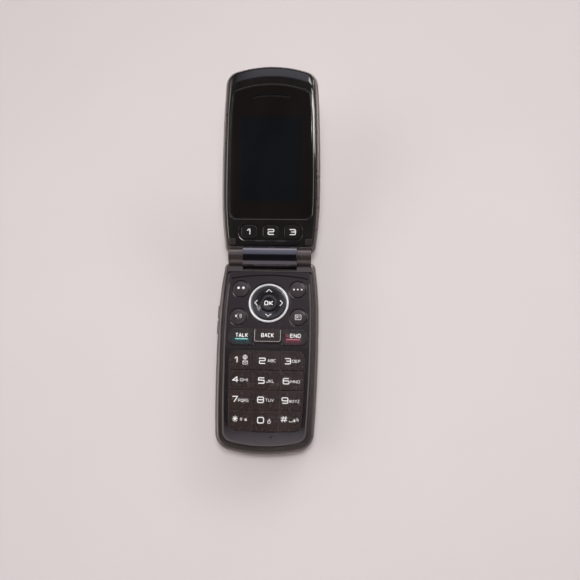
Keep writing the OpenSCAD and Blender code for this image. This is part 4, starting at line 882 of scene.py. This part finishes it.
# Painted highlight along the sides and lower edge of BACK
p = Print("back_key_rim_highlight", "back_key")
p.stroke((0, 0), [(-RIM_HALF, RIM_TOP), (-RIM_HALF, RIM_FOOT), (RIM_HALF, RIM_FOOT), (RIM_HALF, RIM_TOP)],
         False, RIM_CORNER, BOLD)
p.done(back_rim_highlight, "back_key")
power = (9.0, 37.9)
p = Print("end_key_mark", "end_key")
p.stroke(power, ring_points(0, 0, 0.55, 125, 415, 16), False, 0, MEDIUM)
p.stroke(power, [(0, 0.2), (0, 0.85)], False, 0, MEDIUM)
p.done(red, "end_key")

# Round keys: round or square dots, a loudspeaker, and a card with a person
for name, dots, r, corners in (("soft_key_left", ((-14.42, 15.3), (-12.14, 15.25)), 0.58, 16),
                               ("soft_key_right", ((11.66, 15.8), (13.43, 15.8), (15.25, 15.8)), 0.5, 4)):
    p = Print(f"{name}_dots", name)
    for dot in dots:
        p.fill(dot, ring_points(0, 0, r, 45, 405, corners)[:-1])
    p.done(white, name)
speaker = (-13.7, 28.9)
p = Print("speaker_key_mark", "speaker_key")
p.fill(speaker, [(-1.6, -0.5), (-0.95, -0.5), (-0.95, 0.5), (-1.6, 0.5)])
p.fill(speaker, [(-0.95, -0.5), (-0.15, -1.3), (-0.15, 1.3), (-0.95, 0.5)])
for r in (0.75, 1.35):
    p.stroke(speaker, ring_points(-0.1, 0, r, -48, 48, 10), False, 0, BOLD)
p.done(pale, "speaker_key")
card = (13.85, 29.15)
p = Print("contacts_key_mark", "contacts_key")
p.stroke(card, [(-1.35, -1.1), (1.35, -1.1), (1.35, 1.1), (-1.35, 1.1)], True, 0.25, BOLD)
p.stroke(card, ring_points(-0.35, 0.35, 0.32)[:-1], True, 0, FINE)
p.stroke(card, ring_points(-0.35, -0.75, 0.62, 20, 160, 10), False, 0, MEDIUM)
p.stroke(card, [(0.55, 0.45), (1.0, 0.45)], False, 0, FINE)
p.stroke(card, [(0.55, -0.1), (1.0, -0.1)], False, 0, FINE)
p.done(pale, "contacts_key")

# Navigation key: four arrows round the OK key
ARROW_R, ARROW_HALF, ARROW_RISE, ARROW_LINE = 5.85, 1.35, 0.62, 0.34
p = Print("nav_key_arrows", "nav_key", lift=GLOSS_LIFT)
for k in range(4):
    turn = Matrix.Rotation(math.radians(90 * k), 2)
    tips = [turn @ Vector((-ARROW_HALF, ARROW_R - ARROW_RISE)), turn @ Vector((0, ARROW_R + ARROW_RISE)),
            turn @ Vector((ARROW_HALF, ARROW_R - ARROW_RISE))]
    p.stroke((0, NAV_S), tips, False, S, ARROW_LINE)
p.done(white, "nav_key")
p = Print("ok_key_word", "ok_key", lift=GLOSS_LIFT)
p.text((0, NAV_S), "OK", 4.1, 2.2, 0.46, 0.34)
p.done(white, "ok_key")

# Lid keys, each with its digit, the digit's x and its width
QUICK_S, QUICK_LINE = 12.1, 0.46
for name, digit, x, w in zip(QUICK_KEYS, "123", (-10.4, 0.2, 10.5), (1.8, 3.2, 3.2)):
    p = Print(f"{name}_digit", name, on_lid=True)
    p.text((x, QUICK_S), digit, w, DIGIT_H, QUICK_LINE)
    p.done(white, name)


# --- floor, light and surroundings ----------------------------------------------------------------
FLOOR_COLOUR = (0.67, 0.624, 0.618)
FLOOR_HALF_M = 6.0


def make_floor():
    bm = bmesh.new()
    bm.faces.new([bm.verts.new((x * FLOOR_HALF_M, y * FLOOR_HALF_M, 0.0))
                  for x, y in ((-1, -1), (1, -1), (1, 1), (-1, 1))])
    s = Shader("floor_cloth", Specular_IOR_Level=0.1)
    cloud = s.noise(9.0, 3.0)
    s.colour(s.blend(s.spread(cloud, 0.0, 1.0), shade(FLOOR_COLOUR, 0.985), shade(FLOOR_COLOUR, 1.015)))
    s.rough(s.spread(s.noise(900.0), 0.88, 0.96))
    s.bump(s.noise(1800.0, 2.0, stretch=(1.0, 0.4, 1.0)), 0.05, 0.25)
    obj = new_piece("floor", bm, s.mat)


# Brightness of the surroundings by the angle over the phone, from the near horizon (0) through
# straight up (0.5) to the far horizon (1). The dark part is where the photographer stands.
NEAR_TONE, FAR_TONE = (0.80, 0.72, 0.72), (2.40, 2.30, 2.30)
SKY = ((0.0, NEAR_TONE), (0.17, NEAR_TONE), (0.22, (0.06, 0.05, 0.05)), (0.53, (0.05, 0.045, 0.05)),
       (0.59, (0.70, 0.72, 0.86)), (0.79, (1.00, 1.00, 1.16)), (0.86, FAR_TONE), (1.0, FAR_TONE))
# The same to either side of the bluish pane that stands behind the phone
SKY_OFF = ((0.0, NEAR_TONE), (0.17, NEAR_TONE), (0.24, (0.10, 0.09, 0.09)),
           (0.78, (0.14, 0.13, 0.14)), (0.86, FAR_TONE), (1.0, FAR_TONE))


def halves(near, far):
    """One tone up to straight above the phone, and another beyond it."""
    return (0.0, near), (0.50, near), (0.58, far), (1.0, far)


LEFT_SKY = halves((2.20, 2.04, 1.98), (1.50, 1.38, 1.34))
RIGHT_SKY = halves((0.50, 0.46, 0.46), (1.50, 1.40, 1.38))
# How far to the side a direction points (0 to 1) where the pane ends, and where the side tones take over
PANE = (0.10, 0.34)
ASIDE = (0.50, 0.92)
# The brightest tone above. The ramps hold shares of it, because their stops go from 0 to 1.
SKY_PEAK = 2.4
# One share for the surroundings and the lamps, at which a colour renders about as it is written
LEVEL = 0.72


def make_world():
    """A pale room, dark overhead, with a bluish pane behind the phone and other tones to its sides."""
    world = bpy.data.worlds.new("tent")
    bpy.context.scene.world = world
    world.use_nodes = True
    tree = world.node_tree
    back = tree.nodes["Background"]

    def node(kind, **props):
        n = tree.nodes.new(kind)
        for key, value in props.items():
            setattr(n, key, value)
        return n

    sep = node("ShaderNodeSeparateXYZ")
    tree.links.new(node("ShaderNodeTexCoord").outputs["Generated"], sep.inputs[0])
    toward = node("ShaderNodeMath", operation="MULTIPLY")
    tree.links.new(sep.outputs["Y"], toward.inputs[0])
    toward.inputs[1].default_value = -1.0
    angle = node("ShaderNodeMath", operation="ARCTAN2")
    tree.links.new(sep.outputs["Z"], angle.inputs[0])
    tree.links.new(toward.outputs[0], angle.inputs[1])
    part = node("ShaderNodeMath", operation="DIVIDE", use_clamp=True)
    tree.links.new(angle.outputs[0], part.inputs[0])
    part.inputs[1].default_value = math.pi

    def by_angle(values):
        ramp = node("ShaderNodeValToRGB")
        tree.links.new(part.outputs[0], ramp.inputs["Fac"])
        stops = ramp.color_ramp.elements
        for at, _ in values[1:-1]:
            stops.new(at)
        for stop, (_, colour) in zip(stops, values):
            stop.color = (*(c / SKY_PEAK for c in colour), 1)
        return ramp.outputs["Color"]

    def across(value, low, high, inner, outer):
        """The colour inner where the value is below low, changing softly to outer at high."""
        share = node("ShaderNodeMapRange", interpolation_type="SMOOTHSTEP")
        share.inputs["From Min"].default_value = low
        share.inputs["From Max"].default_value = high
        tree.links.new(value, share.inputs["Value"])
        mix = node("ShaderNodeMix", data_type="RGBA")
        tree.links.new(share.outputs["Result"], mix.inputs[0])
        tree.links.new(inner, mix.inputs[6])
        tree.links.new(outer, mix.inputs[7])
        return mix.outputs[2]

    aside = node("ShaderNodeMath", operation="ABSOLUTE")
    tree.links.new(sep.outputs["X"], aside.inputs[0])
    colour = across(aside.outputs[0], *PANE, by_angle(SKY), by_angle(SKY_OFF))
    colour = across(sep.outputs["X"], -ASIDE[0], -ASIDE[1], colour, by_angle(LEFT_SKY))
    colour = across(sep.outputs["X"], *ASIDE, colour, by_angle(RIGHT_SKY))
    tree.links.new(colour, back.inputs["Color"])
    back.inputs["Strength"].default_value = SKY_PEAK * LEVEL


def area_light(name, place, target, size, watts, colour, mirrored=True, lights=True):
    """A rectangular lamp. mirrored: it shows in shiny faces. lights: it brightens dull ones."""
    data = bpy.data.lights.new(name, "AREA")
    data.shape = "RECTANGLE"
    data.size, data.size_y = size
    data.energy = watts * LEVEL
    data.color = colour
    obj = bpy.data.objects.new(name, data)
    obj.location = place
    obj.visible_glossy = mirrored
    obj.visible_diffuse = lights
    obj.rotation_mode = "QUATERNION"
    obj.rotation_quaternion = (Vector(target) - Vector(place)).to_track_quat("-Z", "Y")
    bpy.context.scene.collection.objects.link(obj)
    return obj


make_floor()
make_world()
# Places and sizes in metres
PHONE = (0, 0.04, 0.01)
LID_EDGE = (0.02, 0.113, 0.036)
area_light("window_right", (0.58, 0.80, 0.42), PHONE, (0.75, 0.20), 4.0, (1.0, 0.985, 0.98))
area_light("fill_left", (-0.9, 0.1, 0.6), PHONE, (0.6, 0.6), 2.0, (1.0, 0.97, 0.96))
area_light("fill_front", (0.03, 0.02, 0.55), PHONE, (0.16, 0.16), 2.3, (1.0, 0.985, 0.98), mirrored=False)
# The streak of light down the lid's right edge, which the other pieces don't show
glare = area_light("glare", (0.20, 0.07, 0.60), LID_EDGE, (0.10, 0.12), 0.8, (1.0, 0.96, 0.93), lights=False)
lid_pieces = bpy.data.collections.new("lid_pieces")
for name in ("lid_bezel", "display_window", "lid_frame"):
    lid_pieces.objects.link(nodes[name])
glare.light_linking.receiver_collection = lid_pieces
# A small lamp that shows only as a spot in shiny faces
area_light("lamp", (0.18, 0.30, 0.47), PHONE, (0.12, 0.08), 0.22, (1.0, 0.97, 0.94), lights=False)

bpy.context.scene.view_settings.view_transform = "Standard"
